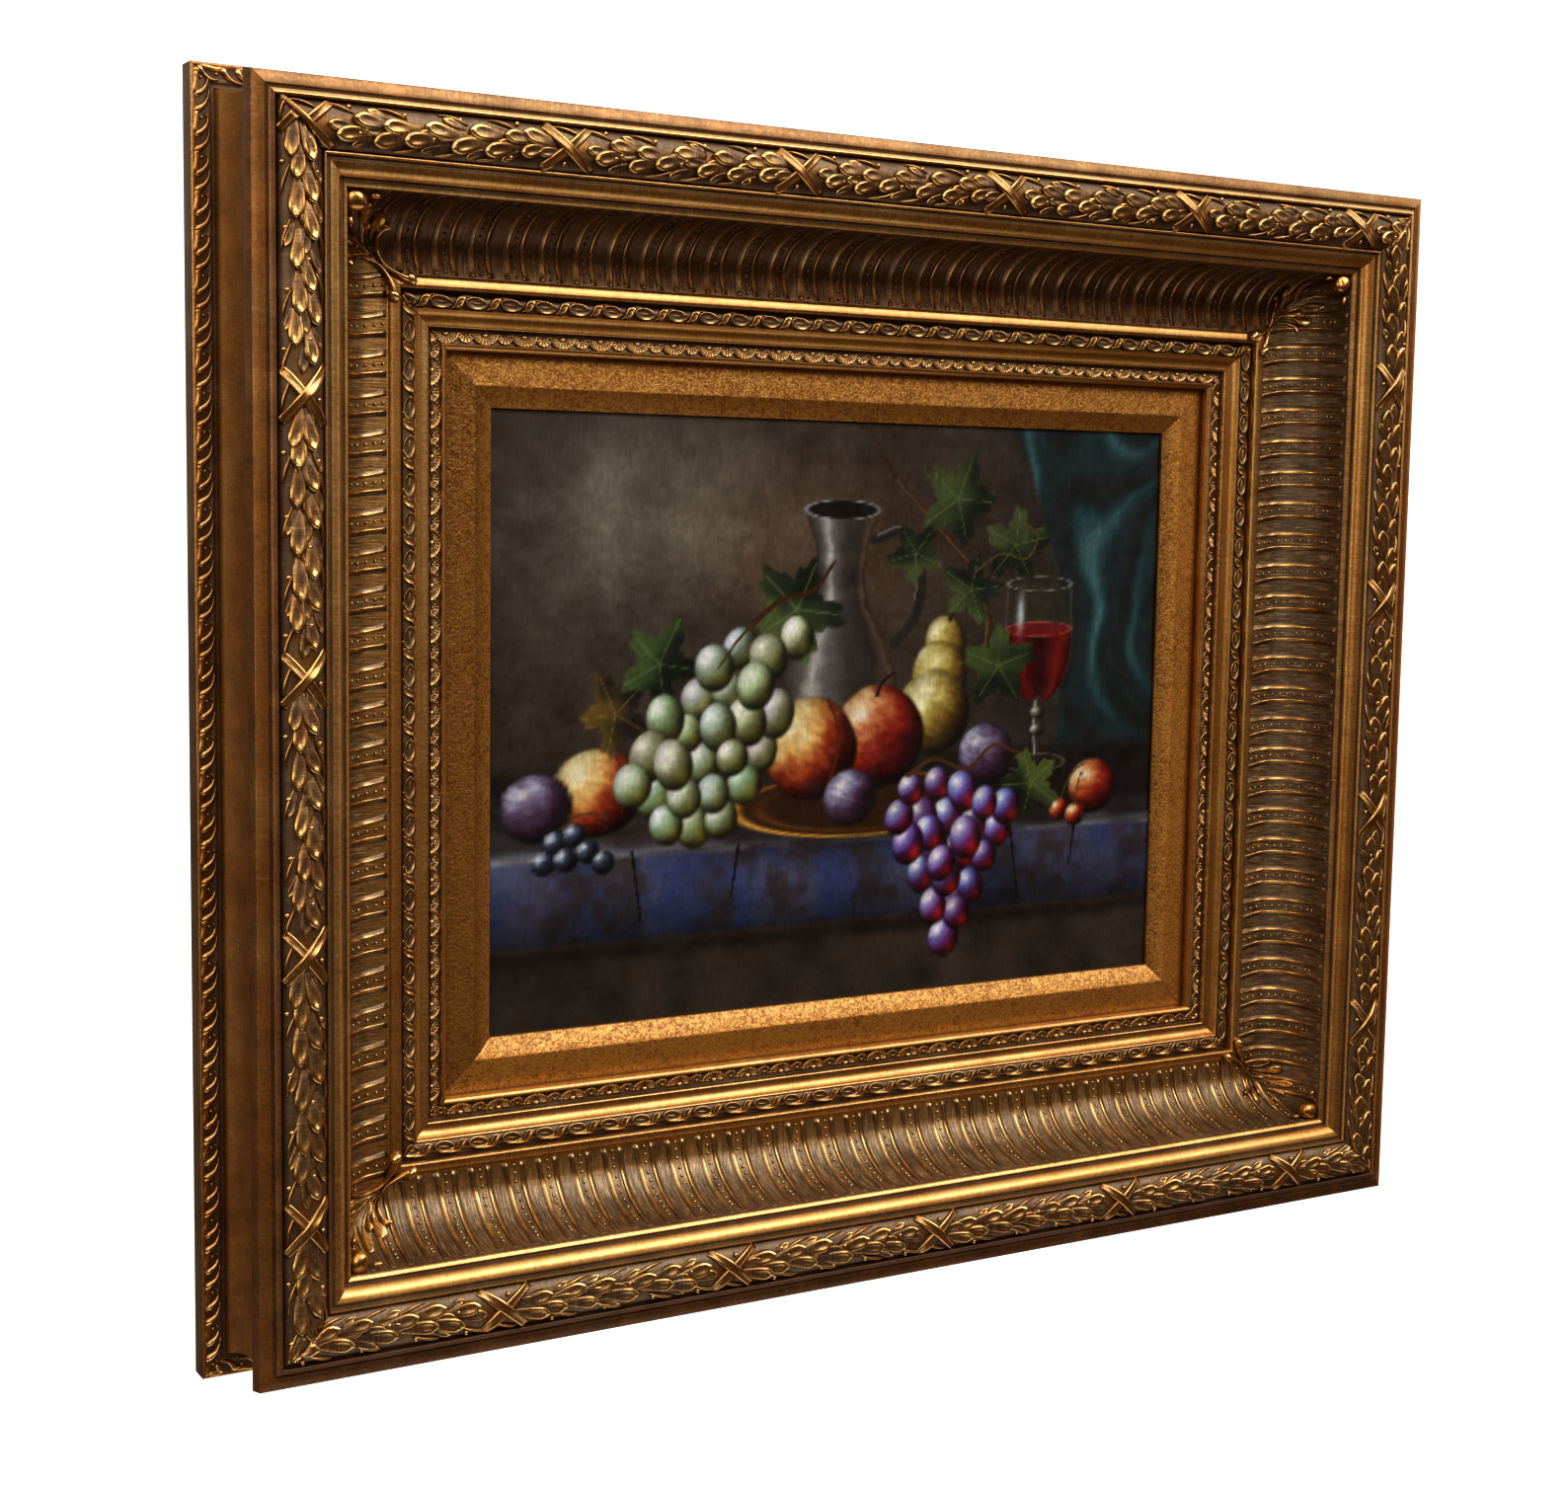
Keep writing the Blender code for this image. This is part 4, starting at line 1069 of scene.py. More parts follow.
def paintRound(board, centre, radii, stops, turn=0.0, soft=1.0, wet=0.6, seed=1, glow=None,
               rough=1.0):
    # a fruit: lit from the upper left, with a lost edge on the shadow side
    x, z = board["x"], board["z"]
    wobble = 1 + 0.025 * softNoise(x, z, 9.0, seed)
    u, v = turned(board, centre, turn)
    u, v = u / (radii[0] * wobble), v / (radii[1] * wobble)
    far = np.sqrt(u * u + v * v)
    out = np.sqrt(np.clip(1 - far * far, 0, 1))
    nx = u * cos(turn) - v * sin(turn)
    nz = u * sin(turn) + v * cos(turn)
    way = picture["light"]
    lit = nx * way[0] + nz * way[1] + out * way[2]
    blur = (soft + 0.9 * np.clip(-lit, 0, 1)) / min(radii)
    mask = 1 - easeIn(far, 1 - blur, 1 + blur * 0.6)
    stroke = 0.10 * softNoise(x + 30 * nz, z - 10 * nx, 3.1, seed + 7) \
        + 0.12 * softNoise(x + 9 * nz, z - 9 * nx, 7.5, seed + 8)
    colour = ramp(lit + rough * stroke, stops)
    colour = colour * (1 - 0.3 * np.clip(far, 0, 1) ** 5)[..., None]
    bloom = hump(nx, -0.34, 0.36) * hump(nz, 0.36, 0.3) * wet
    bloom = bloom * (0.55 + 0.45 * softNoise(x, z, 4.0, seed + 9))
    colour = colour + (np.array([0.93, 0.92, 0.86]) - colour) * (0.5 * bloom)[..., None]
    if glow is not None:
        colour = colour + glow * (hump(nx, 0.48, 0.4) * hump(nz, -0.5, 0.4))[..., None]
    lay(board, mask, colour, 0.35 + 0.4 * np.clip(lit, 0, 1))
    spot = hump(nx, -0.36, 0.17) * hump(nz, 0.42, 0.13) * mask
    lay(board, spot * wet, (0.93, 0.94, 0.90), 1.0)


def paintLine(board, points, wide, colour, body=0.4, taper=0.4):
    # a brush line through the points, thinner towards its end
    line = np.array(smoothLine(points, 7))
    near = np.full(board["x"].shape, 1e9)
    for k, (a, b) in enumerate(zip(line[:-1], line[1:])):
        run = b - a
        share = ((board["x"] - a[0]) * run[0] + (board["z"] - a[1]) * run[1]) / (run @ run)
        share = np.clip(share, 0, 1)
        far = np.hypot(board["x"] - a[0] - share * run[0], board["z"] - a[1] - share * run[1])
        thin = 1 - taper * (k + share) / len(line)
        near = np.minimum(near, far / (wide / 2 * thin))
    lay(board, 1 - easeIn(near, 0.6, 1.35), colour, body)


def paintLeaf(board, centre, size, turn, light, dark, seed):
    # a vine leaf: lobed outline, lighter veins, one half in shade
    light, dark = np.array(light), np.array(dark)
    u, v = turned(board, centre, turn)
    u, v = u / size, v / size
    angle = np.arctan2(v, u)
    far = np.hypot(u, v * 1.15)
    edge = 0.74 + 0.2 * np.cos(5 * angle) + 0.06 * np.cos(17 * angle + seed) \
        + 0.05 * softNoise(board["x"], board["z"], 4.0, seed)
    mask = 1 - easeIn(far / edge, 0.9, 1.04)
    shade = easeIn(v + 0.3 * softNoise(board["x"], board["z"], 7.0, seed + 1), -0.5, 0.5)
    lay(board, mask, dark + (light - dark) * shade[..., None], 0.4)
    vein = 1 - easeIn(np.abs(np.sin(5 * angle / 2)) * far, 0.0, 0.075)
    lay(board, vein * (far < edge * 0.9) * mask * 0.6, light * 1.3 + 0.05, 0.7)


def paintBunch(board, name, size, skin, glow, seed):
    chance = np.random.default_rng(seed)
    rows = np.array(skins[skin])
    for k in chance.permutation(len(bunches[name])):
        reach = size * chance.uniform(0.9, 1.12)
        tint = chance.uniform(-0.06, 0.06, 3) * np.array([1, 0.6, 1])
        own = rows[:, 1:] * chance.uniform(0.82, 1.12, (len(rows), 1)) + tint * rows[:, :1]
        paintRound(board, bunches[name][k], (reach, reach * chance.uniform(1.0, 1.22)),
                   np.column_stack([rows[:, 0], np.clip(own, 0, 1)]),
                   chance.uniform(-0.5, 0.5), 0.8, chance.uniform(0.55, 0.95), seed + int(k),
                   np.array(glow) * chance.uniform(0.5, 1.2), 0.35)


def paintGround(board):
    x, z = board["x"], board["z"]
    base = np.array([0.25, 0.215, 0.18])
    board["rgb"][:] = base * (1 + 0.08 * softNoise(x, z, 40, 4))[..., None]
    haze = 1 + 0.3 * softNoise(x, z, 26, 5) + 0.15 * softNoise(x, z, 9, 6)
    haze = haze * hump(x, -118, 78) * hump(z, 104, 58)
    board["rgb"] += haze[..., None] * np.array([0.20, 0.21, 0.20])
    warm = hump(x, -8, 74) * hump(z, 84, 52)
    board["rgb"] += warm[..., None] * np.array([0.10, 0.065, 0.035])
    for size, amount, seed in ((17, 0.026, 11), (6.5, 0.020, 12), (2.6, 0.014, 13)):
        board["rgb"] += (softNoise(x + z * 0.4, z - x * 0.3, size, seed) * amount)[..., None]


def paintCloth(board):
    # a fall of teal cloth down the right side
    x, z = board["x"], board["z"]
    left = 116 + 20 * np.sin((z + 30) / 52) - 0.14 * (z - 60) + 5 * softNoise(x, z, 30, 21)
    mask = easeIn(x, left - 3.5, left + 3.5) * easeIn(z, -52, -12)
    fold = (x - left) / 9.0 + 1.7 * np.sin(z / 58 + 0.8) + 0.5 * softNoise(x, z, 24, 22) \
        - 0.0009 * (z - 40) ** 2 * easeIn(x, 120, 190)
    crest = 0.5 + 0.35 * np.sin(fold * 2.1) + 0.15 * np.sin(fold * 4.7 + 1.3 + z / 30)
    crest = np.clip(crest, 0, 1) ** 1.5 * (0.3 + 0.7 * easeIn(z, -50, 40))
    crest = crest * easeIn(200 - x, -60, 40)
    grain = 0.07 * softNoise(x * 1.7, z * 0.35, 4.0, 23)
    lay(board, mask, ramp(crest + grain, skins["teal"]), 0.3 + 0.5 * crest)


def paintLedge(board):
    x, z = board["x"], board["z"]
    back, lip, foot = (picture["ledge"][name] for name in ("back", "edge", "foot"))
    wave = 0.8 * softNoise(x, 0 * x, 34, 31)
    top = easeIn(z, lip - 1, lip + 1) * (1 - easeIn(z, back - 8, back + 6))
    near = (back - z) / (back - lip) + 0.1 * softNoise(x, z * 3, 15, 32)
    side = 0.55 + 0.45 * hump(x, -70, 110)
    lay(board, top, ramp(near, skins["ledge"]) * side[..., None], 0.3)
    front = easeIn(z, foot - 1.2 + wave, foot + 1.2 + wave) * (1 - easeIn(z, lip - 2.2, lip - 0.6))
    blue, violet, brown = np.array([(0.25, 0.29, 0.44), (0.40, 0.38, 0.45), (0.24, 0.205, 0.185)])
    patch = easeIn(softNoise(x, z * 0.6, 21, 33) + 0.3 * softNoise(x, z, 6, 38), -0.5, 0.7)
    worn = easeIn(softNoise(x, z * 0.5, 17, 34) + 0.5 * softNoise(x, z, 6, 35), -0.2, 1.0)
    stone = blue + (violet - blue) * patch[..., None] * 0.6
    stone = stone + (brown - stone) * (worn * 0.75)[..., None]
    drop = np.clip((lip - z) / (lip - foot), 0, 1)
    shade = (1.3 - 0.72 * drop ** 1.1) * (0.86 + 0.2 * hump(x, -60, 120))
    lay(board, front, stone * shade[..., None], 0.35)
    edge = hump(z, lip - 0.9 - wave * 0.5, 1.35) * (0.55 + 0.4 * softNoise(x, 0 * x, 12, 36))
    lay(board, np.clip(edge, 0, 1), (0.70, 0.73, 0.78), 0.9)
    for at, lean, long in ((-122, 5, 34), (-63, -4, 26), (103, 6, 38), (146, -3, 22)):
        crack = [(at, lip), (at + lean * 0.4, lip - long * 0.4), (at + lean, lip - long)]
        paintLine(board, crack, 1.7, (0.09, 0.075, 0.07), 0.1)
    under = 1 - easeIn(z, foot - 2.5 + wave, foot + 0.8 + wave)
    low = np.array([0.245, 0.21, 0.18]) * (1 + 0.22 * softNoise(x, z, 18, 37))[..., None]
    lay(board, under, low, 0.2)
    lay(board, hump(z, foot - 5 + wave, 4.5) * 0.6, (0.10, 0.08, 0.065), 0.2)


def paintJug(board):
    # a pewter jug behind the fruit
    x, z = board["x"], board["z"]
    middle = -8.0
    heights, halves = np.array([(-40, 17), (-30, 23), (-12, 29), (8, 29), (24, 22), (38, 13.5),
                                (52, 11.5), (64, 13.5), (74, 17.5), (79, 19)]).T
    u = (x - middle) / np.interp(z, heights, halves)
    mask = (1 - easeIn(np.abs(u), 0.955, 1.03)) * easeIn(z, -41, -38) * (1 - easeIn(z, 77.5, 79))
    paintLine(board, [(8, 66), (24, 69), (33, 54), (31, 34), (19, 20)], 5.0,
              (0.20, 0.185, 0.17), 0.5, 0.1)
    paintLine(board, [(10, 68), (23, 71), (31, 57), (30, 40)], 1.4, (0.45, 0.44, 0.43), 0.9)
    bands = 0.9 + 0.1 * np.cos(z / 3.2) * ((z > 40) & (z < 60))
    tone = ramp(u + 0.06 * softNoise(x, z, 6, 41), skins["pewter"])
    lay(board, mask, tone * bands[..., None], 0.5)
    rim = np.hypot((x - middle) / 19.0, (z - 78.5) / 4.2)
    lay(board, 1 - easeIn(rim, 0.9, 1.04), (0.10, 0.085, 0.075), 0.4)
    lay(board, hump(rim, 0.97, 0.07) * easeIn(-x + 6, -30, 10) * 0.9, (0.66, 0.66, 0.66), 1.0)


def paintGlass(board):
    # a stemmed glass of red wine on the right
    x, z = board["x"], board["z"]
    stem = 98.0
    lift = z - 22
    half = 19.5 * np.sqrt(np.clip(1 - (np.minimum(lift, 0) / 30) ** 2, 0, 1))
    half = np.where(z > 22, 19.5 - 0.05 * lift, half)
    u = (x - stem) / np.maximum(half, 0.5)
    bowl = (1 - easeIn(np.abs(u), 0.94, 1.03)) * easeIn(z, -7.5, -5.5) * (1 - easeIn(z, 46, 47.5))
    wine = bowl * (1 - easeIn(z, 25, 26.5))
    top, rim, foot = (np.hypot((x - stem) / wide, (z - at) / tall)
                      for wide, at, tall in ((19.2, 26, 3.4), (18.4, 46.5, 3.3), (17, -35, 4.4)))
    lay(board, bowl * 0.35, (0.27, 0.25, 0.21), 0.3)
    lay(board, wine * 0.95, ramp(u + 0.1 * softNoise(x, z, 5, 51), skins["wine"]), 0.4)
    lay(board, (1 - easeIn(top, 0.88, 1.02)) * 0.9, (0.48, 0.13, 0.12), 0.6)
    lay(board, hump(top, 0.95, 0.06) * 0.6, (0.75, 0.45, 0.40), 0.8)
    lay(board, hump(rim, 0.97, 0.055) * 0.75, (0.62, 0.63, 0.60), 0.9)
    lay(board, hump(np.abs(u), 0.975, 0.035) * bowl * 0.5, (0.50, 0.50, 0.47), 0.8)
    window = hump(u, -0.55, 0.11) * hump(z, 33, 8.5) * bowl
    lay(board, window * 0.85, (0.83, 0.86, 0.88), 1.0)
    glint = hump(u, -0.5, 0.10) * hump(z, 12, 4.5) * bowl
    lay(board, glint * 0.6, (0.85, 0.62, 0.58), 1.0)
    paintLine(board, [(stem, -6), (stem - 0.5, -18), (stem, -33)], 4.6, (0.25, 0.24, 0.20), 0.5, 0)
    paintLine(board, [(stem - 1, -7), (stem - 1.4, -18), (stem - 1, -31)], 1.3,
              (0.66, 0.67, 0.62), 0.9)
    for at in (-12, -20):
        paintRound(board, (stem, at), (4.2, 3.0), skins["knop"], seed=52)
    lay(board, (1 - easeIn(foot, 0.85, 1.05)) * 0.55, (0.20, 0.19, 0.16), 0.4)
    lay(board, hump(foot, 0.95, 0.07) * 0.55, (0.55, 0.54, 0.48), 0.8)


def paintDish(board):
    # a shallow brass dish, in the shade of the fruit
    x, z = board["x"], board["z"]
    lay(board, hump(x, -2, 112) * hump(z, -58, 13) * 0.78, (0.075, 0.055, 0.045), 0.2)
    dish = np.hypot((x - 4) / 66, (z + 49) / 14.5)
    bright = easeIn(-x + 40, -40, 90) * easeIn(-z, 35, 58)
    lay(board, 1 - easeIn(dish, 0.96, 1.01), (0.24, 0.15, 0.06), 0.4)
    lay(board, hump(dish, 0.955, 0.045) * (0.35 + 0.65 * bright), (0.86, 0.66, 0.32), 1.0)
    lay(board, hump(dish, 0.78, 0.05) * bright * 0.5, (0.62, 0.42, 0.17), 0.8)


def paintStrokes(board):
    for kind, *given in strokes:
        if kind in skins:
            paintRound(board, *given[:2], skins[kind], *given[2:])
        else:
            {"line": paintLine, "leaf": paintLeaf, "bunch": paintBunch}[kind](board, *given)


def paintedBoard(x, z):
    # the colour and the body of the paint at each place, with the marks of the brush
    board = {"x": x, "z": z, "rgb": np.zeros(x.shape + (3,)), "body": np.full(x.shape, 0.25)}
    for paint in (paintGround, paintCloth, paintLedge):
        paint(board)
    # the group is laid in larger than its measures, about the front of the ledge
    group = dict(board)
    group["x"] = (x - picture["groupAt"][0]) / picture["groupSize"]
    group["z"] = (z - picture["groupAt"][1]) / picture["groupSize"] - 45
    for paint in (paintJug, paintGlass, paintDish, paintStrokes):
        paint(group)
    hatch = softNoise(x * 0.9 + z * 0.5, z * 0.9 - x * 0.5, 1.9, 91) * 0.55 \
        + softNoise(x * 0.3, z * 1.1, 2.4, 92) * 0.45
    shown = np.clip(board["rgb"] * (1 + 0.075 * hatch)[..., None], 0.01, 1)
    linear = np.where(shown <= 0.04045, shown / 12.92, ((shown + 0.055) / 1.055) ** 2.4)
    print("picture laid in")
    return linear, picture["strokeRise"] * (board["body"] + 0.5 * hatch)


def buildPicture(materials):
    wide, tall, thick = picture["panel"]
    x, z = np.meshgrid(pictureLines(wide / 2, picture["fineHalf"][0]),
                       pictureLines(tall / 2, picture["fineHalf"][1]), indexing="ij")
    linear, relief = paintedBoard(x, z)
    front = picture["frontDepth"] - frameSizes["depth"] + wallY
    rim = (np.abs(x) > wide / 2 - 0.01) | (np.abs(z) > tall / 2 - 0.01)
    y = front - np.where(rim, 0, np.clip(relief, 0, 0.12))
    points = np.stack([x, y, z + centreZ], -1).reshape(-1, 3) * mm
    index = np.arange(x.size).reshape(x.shape)
    quads = fourSided(index[:-1, :-1], index[1:, :-1], index[1:, 1:], index[:-1, 1:])
    ring = np.concatenate([index[:, 0], index[-1, 1:], index[-2::-1, -1], index[0, -2:0:-1]])
    back = points[ring]
    back[:, 1] = (front + thick) * mm
    behind = np.arange(len(ring)) + len(points)
    sides = fourSided(ring, np.roll(ring, -1), np.roll(behind, -1), behind)[:, ::-1]
    data = bpy.data.meshes.new("painting_panel")
    data.from_pydata(np.vstack([points, back]).tolist(), [],
                     quads.tolist() + sides.tolist() + [behind[::-1].tolist()])
    for made in materials:
        data.materials.append(made)
    painted = np.arange(len(data.polygons)) < len(quads)
    data.polygons.foreach_set("material_index", 1 - painted.astype(int))
    data.polygons.foreach_set("use_smooth", painted)
    paint = data.attributes.new("paint", "FLOAT_COLOR", "POINT")
    colours = np.ones((len(data.vertices), 4), np.float32)
    colours[:, :3] = np.vstack([linear.reshape(-1, 3), [picture["boardBack"]] * len(back)])
    paint.data.foreach_set("color", colours.ravel())
    made = shownObject("painting_panel", data)
    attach(made, "root")
    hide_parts("painting_panel")
    print("painting_panel -", len(quads) * 2, "triangles")


# finishes

# Colours are (red, green, blue) of the bare surface.
gilding = {
    "gold": (0.74, 0.475, 0.17), "redGold": (0.53, 0.235, 0.055),
    "wash": (0.265, 0.195, 0.127), "redWash": (0.155, 0.078, 0.036),
    "bright": (0.99, 0.78, 0.41),
    "goldRough": 0.27, "washRough": 0.42,
}
# the other surfaces, as pairs of a darker and a lighter colour and one for the specks
surfaces = {
    "sandDark": ((0.30, 0.115, 0.022), (0.37, 0.16, 0.035)),
    "sandLight": ((0.56, 0.28, 0.065), (0.74, 0.43, 0.13)), "sandBright": (0.95, 0.70, 0.36),
    "timber": ((0.30, 0.185, 0.095), (0.47, 0.32, 0.185)), "pore": (0.16, 0.09, 0.045),
    "board": ((0.155, 0.085, 0.042), (0.215, 0.125, 0.065)), "boardSpeck": (0.30, 0.19, 0.11),
}


def newNode(tree, kind, **settings):
    made = tree.nodes.new(kind)
    for name, value in settings.items():
        setattr(made, name, value)
    return made


def joined(*pairs):
    for source, target in pairs:
        source.id_data.links.new(source, target)


def newGroup(name, inputs, outputs):
    # inputs: each socket's name and what it starts at, None for a place
    group = bpy.data.node_groups.new(name, "ShaderNodeTree")
    for label, value in inputs.items():
        kind = "NodeSocketVector" if value is None else "NodeSocketFloat"
        socket = group.interface.new_socket(label, in_out="INPUT", socket_type=kind)
        if value is not None:
            socket.default_value = value
    for label in outputs:
        kind = "NodeSocketColor" if label == "Base Color" else "NodeSocketFloat"
        group.interface.new_socket(label, in_out="OUTPUT", socket_type=kind)
    return group, newNode(group, "NodeGroupInput"), newNode(group, "NodeGroupOutput")


def fedNode(kind, sockets, values, **settings):
    # a node whose sockets are given numbers, colours or what other nodes put out
    fed = [value for value in values if isinstance(value, bpy.types.NodeSocket)]
    made = newNode(fed[0].id_data, kind, **settings)
    for socket, value in zip(sockets, values):
        if isinstance(value, bpy.types.NodeSocket):
            joined((value, made.inputs[socket]))
        else:
            made.inputs[socket].default_value = value
    return made


def mixed(share, first, second):
    colours = [(*value, 1.0) if isinstance(value, tuple) else value for value in (first, second)]
    return fedNode("ShaderNodeMix", (0, 6, 7), (share, *colours), data_type="RGBA").outputs[2]


def worked(operation, *values, clamp=False):
    return fedNode("ShaderNodeMath", range(len(values)), values, operation=operation,
                   use_clamp=clamp).outputs[0]


def times(first, second, clamp=False):
    return worked("MULTIPLY", first, second, clamp=clamp)


def plus(first, second, clamp=False):
    return worked("ADD", first, second, clamp=clamp)


def scaled(colour, share):
    return fedNode("ShaderNodeVectorMath", (0, "Scale"), (colour, share),
                   operation="SCALE").outputs[0]


def ranged(value, low, high, toLow=0.0, toHigh=1.0):
    return fedNode("ShaderNodeMapRange", ("Value", "From Min", "From Max", "To Min", "To Max"),
                   (value, low, high, toLow, toHigh),
                   interpolation_type="SMOOTHSTEP").outputs["Result"]


def noised(place, scale, detail=3.0, rough=0.55, stretch=None):
    if stretch:
        place = fedNode("ShaderNodeVectorMath", (0, 1), (place, stretch),
                        operation="MULTIPLY").outputs[0]
    return fedNode("ShaderNodeTexNoise", ("Vector", "Scale", "Detail", "Roughness"),
                   (place, scale, detail, rough)).outputs["Fac"]


def parted(vector):
    return fedNode("ShaderNodeSeparateXYZ", (0,), (vector,)).outputs


def brushMarksGroup():
    # short marks across the run of a rail, and light flecks where the wash was rubbed off
    group, given, out = newGroup("brushMarks", {"Stick": None, "Fleck": 0.5},
                                 ["Streak", "Flecks"])
    stick, fleck = given.outputs["Stick"], given.outputs["Fleck"]
    streak = noised(stick, 1.0, 3.0, 0.6, (1.35, 0.085, 0.0))
    broad = noised(stick, 1.0, 2.0, 0.5, (0.055, 0.05, 0.0))
    lines = noised(stick, 1.0, 2.0, 0.6, (1.7, 0.06, 0.3))
    spots = noised(stick, 1.0, 2.0, 0.5, (0.35, 0.14, 0.5))
    drag = noised(stick, 1.0, 2.0, 0.6, (0.03, 1.1, 0.2))
    patchy = times(ranged(lines, 0.5, 0.68), ranged(spots, 0.4, 0.66))
    flecks = times(patchy, times(fleck, 0.6), clamp=True)
    comb = times(worked("SUBTRACT", streak, 0.5), worked("MULTIPLY_ADD", fleck, 1.1, 0.05))
    plain = plus(worked("MULTIPLY_ADD", broad, 0.3, 0.29), times(drag, 0.12))
    joined((plus(comb, plain), out.inputs["Streak"]), (flecks, out.inputs["Flecks"]))
    return group


def agedGiltGroup():
    # gold leaf toned with a brown wash that stays in the hollows
    group, given, out = newGroup(
        "agedGilt",
        {"Place": None, "Gilt": 0.7, "Warm": 0.5, "Streak": 0.5, "Flecks": 0.0, "Dull": 0.0},
        ["Base Color", "Roughness", "Metallic", "Varnish", "Height"])
    place, gilt, warm, streak, flecks, dull = list(given.outputs)[:6]
    cloud = noised(place, 38.0, 3.0, 0.6)
    fine = noised(place, 620.0, 3.0, 0.65)
    grit = noised(place, 1700.0, 2.0, 0.6)
    wander = plus(times(fine, 0.14), times(streak, 0.44))
    level = plus(gilt, worked("SUBTRACT", wander, 0.29))
    mask = ranged(level, 0.16, 0.72)
    warm = plus(warm, worked("SUBTRACT", cloud, 0.5), clamp=True)
    grain = ranged(streak, 0.3, 0.7, 0.55, 1.35)
    grain = plus(grain, times(worked("SUBTRACT", 1.0, grain), times(mask, 0.75)))
    mottle = times(ranged(fine, 0.3, 0.7, 0.88, 1.1), grain)
    colour = mixed(mask, mixed(warm, gilding["wash"], gilding["redWash"]),
                   mixed(warm, gilding["gold"], gilding["redGold"]))
    # the most gilded places pale towards the bright colour, as burnish and as painted highlight
    burnt = ranged(level, 0.72, 1.05)
    colour = mixed(times(burnt, 0.55), colour, gilding["bright"])
    colour = mixed(flecks, colour, gilding["bright"])
    rough = plus(ranged(mask, 0, 1, gilding["washRough"], gilding["goldRough"]),
                 times(worked("SUBTRACT", grit, 0.5), 0.3))
    tall = plus(times(fine, 0.28), plus(times(grit, 0.1), times(streak, 0.9)))
    joined((scaled(colour, mottle), out.inputs["Base Color"]),
           (plus(rough, dull), out.inputs["Roughness"]),
           (ranged(mask, 0, 1, 0.8, 0.97), out.inputs["Metallic"]),
           (ranged(mask, 0, 1, 0.18, 0.55), out.inputs["Varnish"]), (tall, out.inputs["Height"]))
    return group


def newMaterial(name, values):
    made = bpy.data.materials.new(name)
    made.use_nodes = True
    shader = made.node_tree.nodes["Principled BSDF"]
    for label, value in values.items():
        shader.inputs[label].default_value = value
    return made, made.node_tree, shader


def stored(tree, name, output="Vector"):
    return newNode(tree, "ShaderNodeAttribute", attribute_type="GEOMETRY",
                   attribute_name=name).outputs[output]


def placeIn(tree, output="Object"):
    return newNode(tree, "ShaderNodeTexCoord").outputs[output]


def bumped(shader, tall, strength, reach):
    bump = fedNode("ShaderNodeBump", ("Height", "Strength", "Distance"), (tall, strength, reach))
    joined((bump.outputs["Normal"], shader.inputs["Normal"]))


def giltMaterial(name, groups, strength, reach, dull):
    made, tree, shader = newMaterial(name, {"Specular IOR Level": 0.4, "Coat Roughness": 0.22})
    tone = parted(stored(tree, "tone"))
    marks, gilt = (newNode(tree, "ShaderNodeGroup", node_tree=group) for group in groups)
    gilt.inputs["Dull"].default_value = dull
    joined((stored(tree, "stick"), marks.inputs["Stick"]), (tone["Z"], marks.inputs["Fleck"]),
           (placeIn(tree), gilt.inputs["Place"]), (tone["X"], gilt.inputs["Gilt"]),
           (tone["Y"], gilt.inputs["Warm"]), (marks.outputs["Streak"], gilt.inputs["Streak"]),
           (marks.outputs["Flecks"], gilt.inputs["Flecks"]),
           (gilt.outputs["Varnish"], shader.inputs["Coat Weight"]))
    for label in ("Base Color", "Roughness", "Metallic"):
        joined((gilt.outputs[label], shader.inputs[label]))
    bumped(shader, gilt.outputs["Height"], strength, reach)
    return made


def sandMaterial():
    # the liner: gold over a coat of fine sand
    made, tree, shader = newMaterial("sandedGilt", {"Specular IOR Level": 0.5, "Coat Weight": 0.25,
                                                    "Coat Roughness": 0.3})
    place = placeIn(tree)
    tone = parted(stored(tree, "tone"))
    grains = noised(place, 760.0, 3.0, 0.7)
    clumps = noised(place, 240.0, 3.0, 0.6)
    clouds = noised(place, 30.0, 2.0, 0.5)
    level = plus(times(grains, 0.7), times(clumps, 0.3))
    dark = mixed(ranged(clouds, 0.35, 0.65), *surfaces["sandDark"])
    light = mixed(tone["X"], *surfaces["sandLight"])
    colour = mixed(ranged(level, 0.38, 0.6), dark, light)
    # the tops of the grains painted bright: gold on the raised grains and painted glints
    colour = mixed(times(ranged(level, 0.62, 0.74), 0.5), colour, surfaces["sandBright"])
    joined((scaled(colour, tone["Y"]), shader.inputs["Base Color"]),
           (ranged(level, 0.4, 0.75, 0.5, 0.32), shader.inputs["Roughness"]),
           (ranged(level, 0.4, 0.7, 0.7, 0.95), shader.inputs["Metallic"]))
    bumped(shader, level, 0.9, 0.0006)
    return made


def woodMaterial():
    # bare timber in the rebate and at the back
    made, tree, shader = newMaterial("bareTimber", {"Roughness": 0.72})
    stick = stored(tree, "stick")
    grain = noised(stick, 1.0, 4.0, 0.6, (0.012, 0.5, 0.5))
    pores = noised(stick, 1.0, 2.0, 0.6, (0.09, 2.6, 2.6))
    colour = mixed(ranged(grain, 0.35, 0.65), *surfaces["timber"])
    colour = mixed(ranged(pores, 0.62, 0.8, 0, 0.5), colour, surfaces["pore"])
    joined((colour, shader.inputs["Base Color"]))
    bumped(shader, plus(grain, pores), 0.35, 0.0003)
    return made


